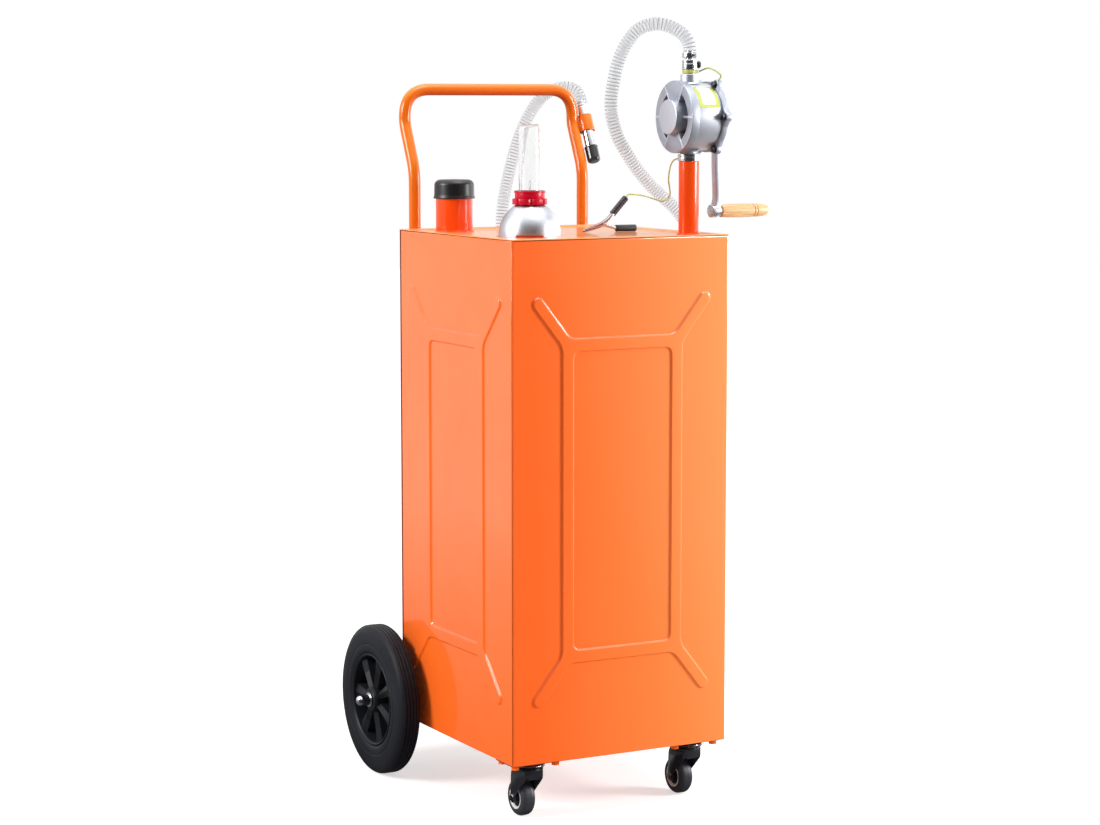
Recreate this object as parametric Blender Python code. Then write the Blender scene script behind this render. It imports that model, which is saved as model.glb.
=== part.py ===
"""Wheeled fuel caddy: a pressed steel tank with a rotary hand pump, hose, level gauge and push handle.

Units are metres and +Z is up. The front faces -Y, and the crank stands out to +X. Places below are
given from the middle of the tank, with Z = 0 on the floor. One empty then carries the whole caddy so
that its origin lies on the floor, in the middle of what it covers.
"""

import math

import bmesh
import bpy
from mathutils import Matrix, Vector

# Fits
GAP = 0.0003
RUN = 0.0006
BITE = 0.001
OVERRUN = 0.004
MERGE = 0.000001

# Tank
TANK_WIDTH = 0.391
TANK_DEPTH = 0.411
TANK_HEIGHT = 0.830
TANK_CLEARANCE = 0.0975
SHEET = 0.0015
RIM_WIDTH = 0.014
RIM_SLOPE = 0.003
RECESS = 0.0025

# Pressed bands on the walls, measured from the middle of each wall
BAND_WIDTH = 0.024
BAND_RISE = 0.003
BAND_SLOPE = 0.003
BAND_CORNER = 0.010
ARM_WIDTH = 0.023
ARM_BELOW_TOP = 0.1015
ARM_HEIGHT = 0.0777
FRONT_ARM_INSET = 0.0445
FRONT_ARM_LENGTH = 0.064
SIDE_ARM_INSET = 0.0485
SIDE_ARM_LENGTH = 0.072

# Filler
FILLER_FROM_LEFT = 0.0655
FILLER_FROM_REAR = 0.0755
NECK_RADIUS = 0.0305
NECK_WALL = 0.0030
NECK_HEIGHT = 0.0740
NECK_DROP = 0.010
THREAD_ROOM = 0.0010
CAP_WALL = 0.0020
CAP_TOP = 0.0840
CAP_SKIRT = 0.0520
CAP_LIP = 0.0010
CAP_LIP_HEIGHT = 0.0040
CAP_CROWN = 0.0055
GASKET_HEIGHT = 0.0016

# Level gauge
GAUGE_FROM_LEFT = 0.1005
GAUGE_FROM_FRONT = 0.1335
DOME_RADIUS = 0.050
DOME_HEIGHT = 0.0440
DOME_WALL = 0.0012
DOME_FLANGE = 0.0520
GAUGE_COLLAR = 0.0225
NUT_BOTTOM = 0.0480
NUT_STEP = 0.0575
NUT_TOP = 0.0700
NUT_FLANGE = 0.0280
NUT_RADIUS = 0.0240
WINDOW_RADIUS = 0.0178
WINDOW_WALL = 0.0018
WINDOW_BOTTOM = 0.0360
WINDOW_TOP = 0.1750
WINDOW_CROWN = 0.0030
GAUGE_HOLE = 0.0360
ROD_RADIUS = 0.0020
ROD_TOP = 0.0870
ROD_STOP_RADIUS = 0.0050
ROD_STOP_HEIGHT = 0.0030
FLOAT_RADIUS = 0.0300
FLOAT_HEIGHT = 0.0500
FLOAT_TOP = -0.1050
FLOAT_NECK = 0.0070

# Pump standpipe
POST_FROM_RIGHT = 0.0445
POST_FROM_FRONT = 0.0505
POST_RADIUS = 0.0165
POST_WALL = 0.0028
POST_TOP = 0.1160
DIP_RADIUS = 0.0110
DIP_WALL = 0.0016
DIP_TOP = 0.1240
STRAINER_RADIUS = 0.0165
STRAINER_WALL = 0.0016
STRAINER_BOTTOM = 0.0120
STRAINER_TOP = 0.0560
STRAINER_SLOTS = 6
STRAINER_SLOT = 0.0050
DIP_FOOT = 0.0380

# Pump, whose shaft lies along X. Its left and right places are from the post's middle
PUMP_RISE = 0.1867
UNION_RADIUS = 0.0183
UNION_TOP = 0.1270
BODY_RADIUS = 0.0540
BODY_LEFT = -0.0145
BODY_RIGHT = 0.0293
CAVITY_RADIUS = 0.0400
CAVITY_OFFSET = 0.0050
PORT_RADIUS = 0.0090
INLET_RADIUS = 0.0145
OUTLET_RADIUS = 0.0145
OUTLET_TOP = 0.2550
COVER_RADIUS = 0.0580
COVER_LEFT = -0.0286
COVER_BOSS = 0.0280
COVER_BOSS_LEFT = -0.0405
COVER_RIM = 0.0060
POCKET_DEPTH = 0.0075
RIB_WIDTH = 0.0040
RIB_COUNT = 6
FLANGE_RIGHT = 0.0396
BEARING_RIGHT = 0.0460
BEARING_RADIUS = 0.0180
EAR_COUNT = 6
EAR_CIRCLE = 0.0600
EAR_RADIUS = 0.0075
BOLT_HEAD = 0.0052
BOLT_HEAD_HEIGHT = 0.0055
SHAFT_RADIUS = 0.0060
SHAFT_LEFT = -0.0210
SHAFT_RIGHT = 0.0640
ROTOR_RADIUS = 0.0300
VANE_COUNT = 3
VANE_WIDTH = 0.0040
VANE_FOOT = 0.0195
VANE_TIP = 0.0342
VANE_SLOT = 0.0046

# Crank, with its left and right places from the post's middle
HUB_LEFT = 0.0465
HUB_RIGHT = 0.0585
HUB_RADIUS = 0.0130
CRANK_REACH = 0.1517
ARM_THICK = 0.0140
ARM_HALF = 0.0045
ARM_BEND = 0.0040
EYE_RADIUS = 0.0105
EYE_LEFT = 0.0410
EYE_RIGHT = 0.0520
FERRULE_RADIUS = 0.0085
SPINDLE_RADIUS = 0.0040
SPINDLE_END = 0.1350
GRIP_LEFT = 0.0594
GRIP_RIGHT = 0.1521
GRIP_RADIUS = 0.0112
GRIP_GROOVE = 0.0008
CRANK_NUT_RADIUS = 0.0098
CRANK_NUT_HEIGHT = 0.0062

# Pump outlet and hose
NECK_RING_RADIUS = 0.0100
RING_BOTTOM = 0.2560
RING_TOP = 0.2621
RING_OUTER = 0.0118
FITTING_RADIUS = 0.0123
FITTING_BORE = 0.0050
FITTING_TOP = 0.2772
BARB_RADIUS = 0.0066
BARB_LENGTH = 0.0150
KNOB_RISE = 0.2700
KNOB_RADIUS = 0.0058
KNOB_LENGTH = 0.0062
KNOB_STEM = 0.0018
HOSE_RADIUS = 0.0110
HOSE_BORE = 0.0080
HOSE_RIBS = 80
RIB_DROP_SHARE = 0.055
BORE_SLACK = 0.0005

# Nozzle, held in a clip beside the right leg of the handle
CLIP_OUT = 0.0225
CLIP_BACK = 0.0280
CLIP_RISE = 0.1730
CLIP_HEIGHT = 0.030
CLIP_WALL = 0.0028
NOZZLE_RADIUS = 0.0100
NOZZLE_BORE = 0.0065
NOZZLE_UP = 0.0350
NOZZLE_DOWN = 0.0560
NOZZLE_BARB = 0.0080
CLIP_WEB_HALF = 0.0060
DUST_CAP_RADIUS = 0.0116
DUST_CAP_TOP = 0.0437
DUST_CAP_LENGTH = 0.0285
DUST_CAP_FLOOR = 0.0060

# Push handle, with its heights from the tank's top
TUBE_RADIUS = 0.0100
HANDLE_INSET = 0.0345
HANDLE_STANDOFF = 0.0120
HANDLE_FOOT = -0.230
HANDLE_BEND = 0.095
HANDLE_SHOULDER = 0.175
HANDLE_TOP = 0.232
HANDLE_LEAN = 0.0373
HANDLE_CORNER = 0.055
HANDLE_EASE = 0.020
STRAP_BOTTOM = -0.205
STRAP_TOP = -0.030
STRAP_FLANGE = 0.0130
STRAP_SHEET = 0.0020
STRAP_ROOM = 0.0008

# Rear wheels
AXLE_STANDOFF = 0.0140
AXLE_RADIUS = 0.0075
AXLE_COLLAR = 0.0125
WHEEL_RADIUS = 0.127
WHEEL_WIDTH = 0.040
WHEEL_STANDOUT = 0.0550
TYRE_HEIGHT = 0.0480
RIM_RADIUS = WHEEL_RADIUS - TYRE_HEIGHT
RIM_WALL = 0.0050
RIM_HALF = 0.0170
HUB_BOSS_RADIUS = 0.0210
SPOKE_COUNT = 7
SPOKE_ROOT = 0.0055
SPOKE_TIP = 0.0135
SPOKE_HALF = 0.0098
SPOKE_RIDGE = 0.0130
RIDGE_HALF = 0.0042
WINDOW_INNER = 0.0240
WINDOW_OUTER = RIM_RADIUS - RIM_WALL - 0.0010
WEB_INNER = -0.0110
WEB_OUTER = -0.0085
TYRE_SHOULDER = 0.0060
NUT_WASHER_RADIUS = 0.0125
NUT_WASHER = 0.0020
AXLE_NUT_RADIUS = 0.0088
NUT_STANDOUT = 0.0250
CHANNEL_INSET = 0.0155
CHANNEL_HEIGHT = 0.036
CHANNEL_DEPTH = 0.030
CHANNEL_SHEET = 0.0030

# Casters
CASTER_FROM_SIDE = 0.0485
CASTER_FROM_FRONT = 0.0400
CASTER_TRAIL = 0.0255
PLATE_X = 0.090
PLATE_Y = 0.062
PLATE_SHEET = 0.0025
PLATE_CORNER = 0.006
BOLT_SPACING_X = 0.072
BOLT_SPACING_Y = 0.045
STUD_RADIUS = 0.0038
STUD_ROOM = 0.0005
STUD_NUT_RADIUS = 0.0070
STUD_NUT_HEIGHT = 0.0055
RACE_RADIUS = 0.0260
RACE_HEIGHT = 0.0110
PIN_RADIUS = 0.0050
PIN_HEAD = 0.0085
PIN_HEAD_HEIGHT = 0.0030
CROWN_RADIUS = 0.0230
CROWN_SHEET = 0.0028
LEG_SHEET = 0.0022
LEG_HALF_GAP = 0.0145
LEG_BOSS = 0.0085
CASTER_RADIUS = 0.0300
CASTER_WIDTH = 0.0240
CASTER_HUB_RADIUS = 0.0190
CASTER_BOSS = 0.0080
CASTER_AXLE = 0.0035
CASTER_AXLE_HEAD = 0.0060
CASTER_AXLE_HEAD_HEIGHT = 0.0020

# Ground clamp on the tank's top
CLAMP_FROM_POST_X = -0.075
CLAMP_FROM_POST_Y = 0.145
CLAMP_PIVOT_RISE = 0.0130
CLAMP_TIP = 0.0390
CLAMP_SLEEVE_START = 0.0200
CLAMP_SLEEVE_END = 0.0600
CLAMP_HALF = 0.0050
CLAMP_CHEEK = 0.0016
CLAMP_SHEET = 0.0022
CLAMP_PIN = 0.0020
CLAMP_SPREAD = math.radians(46)
SLEEVE_RADIUS = 0.0056
TANG_RADIUS = 0.0024
WIRE_RADIUS = 0.00125

# Sides of the round shapes
SIDES_LARGE = 24
SIDES_MEDIUM = 14
SIDES_SMALL = 12
SIDES_TINY = 6

RIGHT_WALL = TANK_WIDTH / 2
REAR_WALL = TANK_DEPTH / 2
TANK_TOP = TANK_CLEARANCE + TANK_HEIGHT
DECK = TANK_TOP - RECESS
ARM_RISE = TANK_HEIGHT / 2 - ARM_BELOW_TOP
BAND_HALF_HEIGHT = ARM_RISE - ARM_HEIGHT
FRONT_ARM_REACH = RIGHT_WALL - FRONT_ARM_INSET
FRONT_BAND_HALF = FRONT_ARM_REACH - FRONT_ARM_LENGTH
SIDE_ARM_REACH = REAR_WALL - SIDE_ARM_INSET
SIDE_BAND_HALF = SIDE_ARM_REACH - SIDE_ARM_LENGTH
FILLER_X = FILLER_FROM_LEFT - RIGHT_WALL
FILLER_Y = REAR_WALL - FILLER_FROM_REAR
GAUGE_X = GAUGE_FROM_LEFT - RIGHT_WALL
GAUGE_Y = GAUGE_FROM_FRONT - REAR_WALL
POST_X = RIGHT_WALL - POST_FROM_RIGHT
POST_Y = POST_FROM_FRONT - REAR_WALL
PUMP_Z = TANK_TOP + PUMP_RISE
CLAMP_X = POST_X + CLAMP_FROM_POST_X
CLAMP_Y = POST_Y + CLAMP_FROM_POST_Y
WHEEL_FACE = RIGHT_WALL + WHEEL_STANDOUT
AXLE_END = WHEEL_FACE + NUT_STANDOUT
AXLE_Y = REAR_WALL + AXLE_STANDOFF
CHANNEL_HALF = RIGHT_WALL - CHANNEL_INSET
CASTER_X = RIGHT_WALL - CASTER_FROM_SIDE
CASTER_Y = CASTER_FROM_FRONT - REAR_WALL
HANDLE_HALF = RIGHT_WALL - HANDLE_INSET
HANDLE_Y = REAR_WALL + HANDLE_STANDOFF
NOZZLE_TURN = Matrix.Rotation(-math.atan2(HANDLE_LEAN, HANDLE_SHOULDER - HANDLE_BEND), 4, "X")
NOZZLE_UP_AXIS = NOZZLE_TURN.to_3x3() @ Vector((0, 0, 1))
POST_TOP_AT = Vector((POST_X, POST_Y, TANK_TOP))
CLIP_AT = Vector((HANDLE_HALF + CLIP_OUT, HANDLE_Y + CLIP_BACK, TANK_TOP + CLIP_RISE))

ALONG_X = Matrix.Rotation(math.radians(90), 4, "Y")
ALONG_Y = Matrix.Rotation(math.radians(-90), 4, "X")
UPRIGHT = Matrix.Rotation(math.radians(90), 4, "X")
STAND_ALONG_X = Matrix(((0, 0, 1, 0), (1, 0, 0, 0), (0, 1, 0, 0), (0, 0, 0, 1)))

# Middle of what the caddy covers, from the pump's ears to the back of the wheels and from the left
# axle end to the tip of the grip
FRONT_REACH = POST_Y - EAR_CIRCLE - EAR_RADIUS
REAR_REACH = AXLE_Y + WHEEL_RADIUS
MIDDLE = Vector(((POST_X + GRIP_RIGHT - AXLE_END) / 2, (FRONT_REACH + REAR_REACH) / 2, 0))

SMOOTH_ANGLE = math.radians(35)
SPOTS = {}

# The hose's route, chosen by hand: up out of the pump, over in a loop to the left and down past the
# right wall, from the top of the pump's post
HOSE_FROM_POST = (
    (0.0000, 0.0000, 0.2775),
    (0.0000, 0.0000, 0.2855),
    (0.0000, 0.0000, 0.2985),
    (-0.0070, 0.0060, 0.3165),
    (-0.0230, 0.0220, 0.3305),
    (-0.0430, 0.0369, 0.3349),
    (-0.0610, 0.0650, 0.3243),
    (-0.0780, 0.0860, 0.2861),
    (-0.0870, 0.0970, 0.2325),
    (-0.0870, 0.1005, 0.1945),
    (-0.0750, 0.1030, 0.1575),
    (-0.0590, 0.1050, 0.1328),
    (-0.0330, 0.1120, 0.1030),
    (-0.0030, 0.1180, 0.0746),
    (0.0270, 0.1235, 0.0526),
    (0.0550, 0.1270, 0.0305),
    (0.0750, 0.1300, 0.0045),
)
# Down the right wall, round the rear corner in a deep bight and up behind the tank, from the rear
# corner of its top
HOSE_PAST_CORNER = (
    (0.0415, -0.2235, -0.0325),
    (0.0445, -0.2005, -0.1075),
    (0.0435, -0.1575, -0.2275),
    (0.0425, -0.1005, -0.3575),
    (0.0405, -0.0405, -0.4725),
    (0.0285, 0.0225, -0.5675),
    (-0.0035, 0.0665, -0.6525),
    (-0.0455, 0.0825, -0.6895),
    (-0.0875, 0.0845, -0.6825),
    (-0.1215, 0.0825, -0.6175),
    (-0.1435, 0.0785, -0.5075),
    (-0.1615, 0.0685, -0.2775),
    (-0.1685, 0.0625, -0.1275),
    (-0.1675, 0.0605, 0.0025),
)
# Up behind the handle and over into the nozzle, from the middle of its clip
HOSE_TO_CLIP = (
    (-0.1463, 0.0235, -0.1135),
    (-0.1230, 0.0325, -0.0448),
    (-0.0962, 0.0405, 0.0069),
    (-0.0655, 0.0455, 0.0445),
    (-0.0385, 0.0465, 0.0595),
    (-0.0175, 0.0425, 0.0635),
    (-0.0040, 0.0315, 0.0590),
)
# The ground wire's route, chosen by hand, from the clamp's raised handle to the pump's union, from
# the top of the pump's post
WIRE_FROM_POST = (
    (-0.0200, 0.1200, 0.0580),
    (-0.0170, 0.0900, 0.0542),
    (-0.0140, 0.0600, 0.0502),
    (-0.0114, 0.0400, 0.0605),
    (-0.0220, 0.0270, 0.0875),
    (-0.0220, 0.0180, 0.1125),
    (-0.0141, 0.0126, 0.1205),
)


def clear_scene():
    """Leaves an empty file to build in."""
    for old in list(bpy.data.objects):
        bpy.data.objects.remove(old, do_unlink=True)


def paint(name, colour, roughness, metallic=0.0, alpha=1.0):
    """A material of one colour."""
    made = bpy.data.materials.new(name)
    made.use_nodes = True
    made.diffuse_color = (*colour, alpha)
    shader = made.node_tree.nodes["Principled BSDF"]
    shader.inputs["Base Color"].default_value = (*colour, 1.0)
    shader.inputs["Roughness"].default_value = roughness
    shader.inputs["Metallic"].default_value = metallic
    shader.inputs["Alpha"].default_value = alpha
    return made


def carrier(name, at=(0, 0, 0), parent=None):
    """An empty on a joint's axis, which carries the pieces of one moving body."""
    made = bpy.data.objects.new(name, None)
    bpy.context.scene.collection.objects.link(made)
    SPOTS[name] = Vector(at)
    if parent is None:
        made.location = SPOTS[name] - MIDDLE
    else:
        made.parent = parent
        made.location = SPOTS[name] - SPOTS[parent.name]
    return made


def piece(name, bm, look, on, at=(0, 0, 0), turn=None):
    """One named solid from a bmesh, turned and then placed on its carrier."""
    if turn is not None:
        bmesh.ops.transform(bm, matrix=turn, verts=bm.verts[:])
    bmesh.ops.recalc_face_normals(bm, faces=bm.faces[:])
    mesh = bpy.data.meshes.new(name)
    bm.to_mesh(mesh)
    bm.free()
    mesh.materials.append(look)
    mesh.shade_smooth()
    mesh.set_sharp_from_angle(angle=SMOOTH_ANGLE)
    made = bpy.data.objects.new(name, mesh)
    bpy.context.scene.collection.objects.link(made)
    made.parent = on
    made.location = Vector(at) - SPOTS[on.name]
    return made


def helper(name, bm, on, at=(0, 0, 0), turn=None):
    """A shape that only cuts or joins another."""
    made = piece(name, bm, None, on, at, turn)
    made.hide_render = True
    made.display_type = "WIRE"
    return made


def boolean(target, other, operation):
    step = target.modifiers.new(other.name, "BOOLEAN")
    step.operation = operation
    step.solver = "EXACT"
    step.object = other


def cut(target, *others):
    for other in others:
        boolean(target, other, "DIFFERENCE")


def join(target, *others):
    for other in others:
        boolean(target, other, "UNION")


def circle(radius, sides, middle=(0, 0), start=0.0):
    """Points round a circle."""
    steps = [start + 2 * math.pi * k / sides for k in range(sides)]
    return [(middle[0] + radius * math.cos(a), middle[1] + radius * math.sin(a)) for a in steps]


def rounded(half_x, half_y, corner, steps=2):
    """A rectangle's outline with round corners, about the origin."""
    points = []
    for quarter, (sx, sy) in enumerate(((1, 1), (-1, 1), (-1, -1), (1, -1))):
        for k in range(steps + 1):
            a = math.radians(90) * (quarter + k / steps)
            x = sx * (half_x - corner) + corner * math.cos(a)
            y = sy * (half_y - corner) + corner * math.sin(a)
            points.append((x, y))
    return points


def loop(bm, points, height=0.0):
    """A closed ring of edges at one height."""
    verts = [bm.verts.new((x, y, height)) for x, y in points]
    for a, b in zip(verts, verts[1:] + verts[:1]):
        bm.edges.new((a, b))
    return verts


def fill(bm, *rings):
    """Faces between an outline and the holes in it."""
    edges = set()
    for verts in rings:
        for a, b in zip(verts, verts[1:] + verts[:1]):
            edges.add(bm.edges.get((a, b)))
    bmesh.ops.triangle_fill(bm, use_beauty=True, edges=list(edges), normal=(0, 0, 1))


def skirt(bm, low, high):
    """Faces between two rings with as many points."""
    for k, a in enumerate(low):
        after = (k + 1) % len(low)
        bm.faces.new((a, low[after], high[after], high[k]))


def slab(outline, depth, holes=(), low=0.0):
    """A flat outline with its holes, extruded up Z."""
    bm = bmesh.new()
    fill(bm, *[loop(bm, points, low) for points in (outline, *holes)])
    grown = bmesh.ops.extrude_face_region(bm, geom=bm.faces[:])["geom"]
    tops = [item for item in grown if isinstance(item, bmesh.types.BMVert)]
    bmesh.ops.translate(bm, vec=(0, 0, depth), verts=tops)
    return bm


def turned(profile, sides, closed=False):
    """A solid of revolution about Z. The profile gives radii and heights, and starts and ends on the
    axis unless it is closed in itself."""
    bm = bmesh.new()
    verts = [bm.verts.new((radius, 0, height)) for radius, height in profile]
    pairs = list(zip(verts, verts[1:]))
    if closed:
        pairs.append((verts[-1], verts[0]))
    edges = [bm.edges.new(pair) for pair in pairs]
    bmesh.ops.spin(
        bm,
        geom=verts + edges,
        cent=(0, 0, 0),
        axis=(0, 0, 1),
        angle=2 * math.pi,
        steps=sides,
        use_merge=True,
    )
    bmesh.ops.remove_doubles(bm, verts=bm.verts[:], dist=MERGE)
    return bm


def rod(radius, low, high, sides):
    """A round bar about Z."""
    return turned([(0, low), (radius, low), (radius, high), (0, high)], sides)


def pipe(inner, outer, low, high, sides):
    """A round tube about Z, open at both ends."""
    return turned([(inner, low), (outer, low), (outer, high), (inner, high)], sides, closed=True)


def bar(low, high):
    """A box between two corners."""
    (x0, y0, z0), (x1, y1, z1) = low, high
    return slab([(x0, y0), (x1, y0), (x1, y1), (x0, y1)], z1 - z0, low=z0)


def placed(points, at):
    """Points that were given from a place."""
    return [at + Vector(p) for p in points]


def smooth_route(points, count):
    """Evenly spaced points on a smooth curve through the given ones, and its length."""
    points = [Vector(p) for p in points]
    points = [2 * points[0] - points[1], *points, 2 * points[-1] - points[-2]]
    fine = []
    share_steps = 24
    for p0, p1, p2, p3 in zip(points, points[1:], points[2:], points[3:]):
        for k in range(share_steps):
            t = k / share_steps
            curved = p1 * 2 + (p2 - p0) * t + (p0 * 2 - p1 * 5 + p2 * 4 - p3) * t**2
            fine.append((curved + (p1 * 3 - p0 - p2 * 3 + p3) * t**3) / 2)
    fine.append(points[-2])
    run = [0.0]
    for a, b in zip(fine, fine[1:]):
        run.append(run[-1] + (b - a).length)
    spaced = []
    at = 0
    for k in range(count):
        goal = run[-1] * k / (count - 1)
        while at < len(run) - 2 and run[at + 1] < goal:
            at += 1
        part = (goal - run[at]) / (run[at + 1] - run[at])
        spaced.append(fine[at].lerp(fine[at + 1], min(part, 1.0)))
    return spaced, run[-1]


def tube(name, points, radius, resolution, shares=None):
    """A mesh tube with filled ends along the points. Shares give the radius at each of them."""
    line = bpy.data.curves.new(name + "_line", "CURVE")
    line.dimensions = "3D"
    line.bevel_depth = radius
    line.bevel_resolution = resolution
    line.use_fill_caps = True
    spline = line.splines.new("POLY")
    spline.points.add(len(points) - 1)
    for k, (x, y, z) in enumerate(points):
        spline.points[k].co = (x, y, z, 1.0)
        spline.points[k].radius = shares[k] if shares else 1.0
    guide = bpy.data.objects.new(name + "_line", line)
    bpy.context.scene.collection.objects.link(guide)
    mesh = bpy.data.meshes.new_from_object(guide.evaluated_get(bpy.context.evaluated_depsgraph_get()))
    bpy.data.objects.remove(guide, do_unlink=True)
    bm = bmesh.new()
    bm.from_mesh(mesh)
    bmesh.ops.remove_doubles(bm, verts=bm.verts[:], dist=MERGE)
    bpy.data.meshes.remove(mesh)
    return bm


def band_edge(inset, half, arm_reach):
    """The outer edge of a pressed band, with an arm out of each corner if it has them."""
    outer_half = half + BAND_WIDTH - inset
    outer_rise = BAND_HALF_HEIGHT + BAND_WIDTH - inset
    if arm_reach is None:
        return rounded(outer_half, outer_rise, BAND_CORNER)
    root = Vector((half + BAND_WIDTH / 2, BAND_HALF_HEIGHT + BAND_WIDTH / 2))
    end = Vector((arm_reach, ARM_RISE))
    along = (end - root).normalized()
    across = Vector((along.y, -along.x))
    reach = ARM_WIDTH / 2 - inset
    low = root + across * reach
    low += along * (outer_half - low.x) / along.x
    high = root - across * reach
    high += along * (outer_rise - high.y) / along.y
    quarter = [low]
    cap_steps = 3
    for k in range(cap_steps + 1):
        a = math.pi * k / cap_steps
        quarter.append(end + across * reach * math.cos(a) + along * reach * math.sin(a))
    quarter.append(high)
    points = []
    for sx, sy in ((1, 1), (-1, 1), (-1, -1), (1, -1)):
        share = [(sx * p.x, sy * p.y) for p in quarter]
        points += share if sx == sy else share[::-1]
    return points


def face_up(bm):
    """Turns an open sheet so that its faces look up Z."""
    bmesh.ops.recalc_face_normals(bm, faces=bm.faces[:])
    bm.normal_update()
    if sum(face.normal.z * face.calc_area() for face in bm.faces) < 0:
        bmesh.ops.reverse_faces(bm, faces=bm.faces[:])


def sheet(name, bm, look, on, at, turn=None):
    """A sheet of the tank's gauge, whose faces are its outer side."""
    face_up(bm)
    if turn is not None:
        bmesh.ops.transform(bm, matrix=turn, verts=bm.verts[:])
    mesh = bpy.data.meshes.new(name)
    bm.to_mesh(mesh)
    bm.free()
    mesh.materials.append(look)
    made = bpy.data.objects.new(name, mesh)
    bpy.context.scene.collection.objects.link(made)
    made.parent = on
    made.location = Vector(at) - SPOTS[on.name]
    thick = made.modifiers.new("gauge", "SOLIDIFY")
    thick.thickness = SHEET
    thick.offset = -1
    thick.use_even_offset = True
    return made


def pressed_wall(name, half_width, band_half, arm_reach, facing, look, on):
    """A wall of the tank with its pressed band. It faces -Y before it is turned about Z."""
    half_height = TANK_HEIGHT / 2
    top = half_height - SHEET - GAP
    outline = [(-half_width, -half_height), (half_width, -half_height), (half_width, top), (-half_width, top)]
    bm = bmesh.new()
    edge = loop(bm, outline)
    outer_foot = loop(bm, band_edge(0, band_half, arm_reach))
    outer_crest = loop(bm, band_edge(BAND_SLOPE, band_half, arm_reach), BAND_RISE)
    inner_half = (band_half + BAND_SLOPE, BAND_HALF_HEIGHT + BAND_SLOPE)
    inner_crest = loop(bm, rounded(*inner_half, BAND_CORNER), BAND_RISE)
    inner_foot = loop(bm, rounded(band_half, BAND_HALF_HEIGHT, BAND_CORNER))
    fill(bm, edge, outer_foot)
    fill(bm, outer_crest, inner_crest)
    fill(bm, inner_foot)
    skirt(bm, outer_foot, outer_crest)
    skirt(bm, inner_crest, inner_foot)
    reach = TANK_DEPTH / 2 if facing % 180 == 0 else TANK_WIDTH / 2
    turn = Matrix.Rotation(math.radians(facing), 4, "Z")
    at = turn @ Vector((0, -reach, 0)) + Vector((0, 0, TANK_CLEARANCE + half_height))
    return sheet(name, bm, look, on, at, turn @ UPRIGHT)


def tank_top(look, on):
    """The top sheet, with its field pressed down inside a flat rim and a hole for each fitting."""
    half_x = TANK_WIDTH / 2
    half_y = TANK_DEPTH / 2
    bm = bmesh.new()
    inset = RIM_WIDTH + RIM_SLOPE
    edge = loop(bm, [(-half_x, -half_y), (half_x, -half_y), (half_x, half_y), (-half_x, half_y)])
    rim = loop(bm, rounded(half_x - RIM_WIDTH, half_y - RIM_WIDTH, BAND_CORNER))
    field = loop(bm, rounded(half_x - inset, half_y - inset, BAND_CORNER - RIM_SLOPE), -RECESS)
    fill(bm, edge, rim)
    skirt(bm, rim, field)
    fill(bm, field)
    made = sheet("tank_top", bm, look, on, (0, 0, TANK_TOP))
    low = DECK - SHEET - OVERRUN
    high = DECK + OVERRUN
    holes = (
        ("filler_hole", NECK_RADIUS + GAP, FILLER_X, FILLER_Y, SIDES_MEDIUM),
        ("gauge_hole", GAUGE_HOLE, GAUGE_X, GAUGE_Y, SIDES_MEDIUM),
        ("post_hole", POST_RADIUS - POST_WALL, POST_X, POST_Y, SIDES_SMALL),
    )
    for name, radius, x, y, sides in holes:
        cut(made, helper(name, rod(radius, low, high, sides), on, (x, y, 0)))


def tank_bottom(look, on):
    """The bottom sheet, with the welded studs and nuts that carry the casters."""
    half_x = TANK_WIDTH / 2 - SHEET - GAP
    half_y = TANK_DEPTH / 2 - SHEET - GAP
    low = TANK_CLEARANCE
    made = piece("tank_bottom", bar((-half_x, -half_y, low), (half_x, half_y, low + SHEET)), look, on)
    nut_top = low - PLATE_SHEET - 2 * GAP
    nut_bottom = nut_top - STUD_NUT_HEIGHT
    profile = [
        (0, nut_bottom),
        (STUD_NUT_RADIUS, nut_bottom),
        (STUD_NUT_RADIUS, nut_top),
        (STUD_RADIUS, nut_top),
        (STUD_RADIUS, low + SHEET / 2),
        (0, low + SHEET / 2),
    ]
    for side in (-1, 1):
        for x in (-1, 1):
            for y in (-1, 1):
                at_x = side * CASTER_X + x * BOLT_SPACING_X / 2
                at_y = CASTER_Y + y * BOLT_SPACING_Y / 2
                stud = turned(profile, SIDES_TINY)
                join(made, helper(f"stud_{side}_{x}_{y}", stud, on, (at_x, at_y, 0)))


def build_tank(look, on):
    side_half = TANK_DEPTH / 2 - SHEET - GAP
    pressed_wall("tank_front", TANK_WIDTH / 2, FRONT_BAND_HALF, FRONT_ARM_REACH, 0, look, on)
    pressed_wall("tank_right", side_half, SIDE_BAND_HALF, SIDE_ARM_REACH, 90, look, on)
    pressed_wall("tank_back", TANK_WIDTH / 2, FRONT_BAND_HALF, None, 180, look, on)
    pressed_wall("tank_left", side_half, SIDE_BAND_HALF, SIDE_ARM_REACH, 270, look, on)
    tank_top(look, on)
    tank_bottom(look, on)


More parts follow.
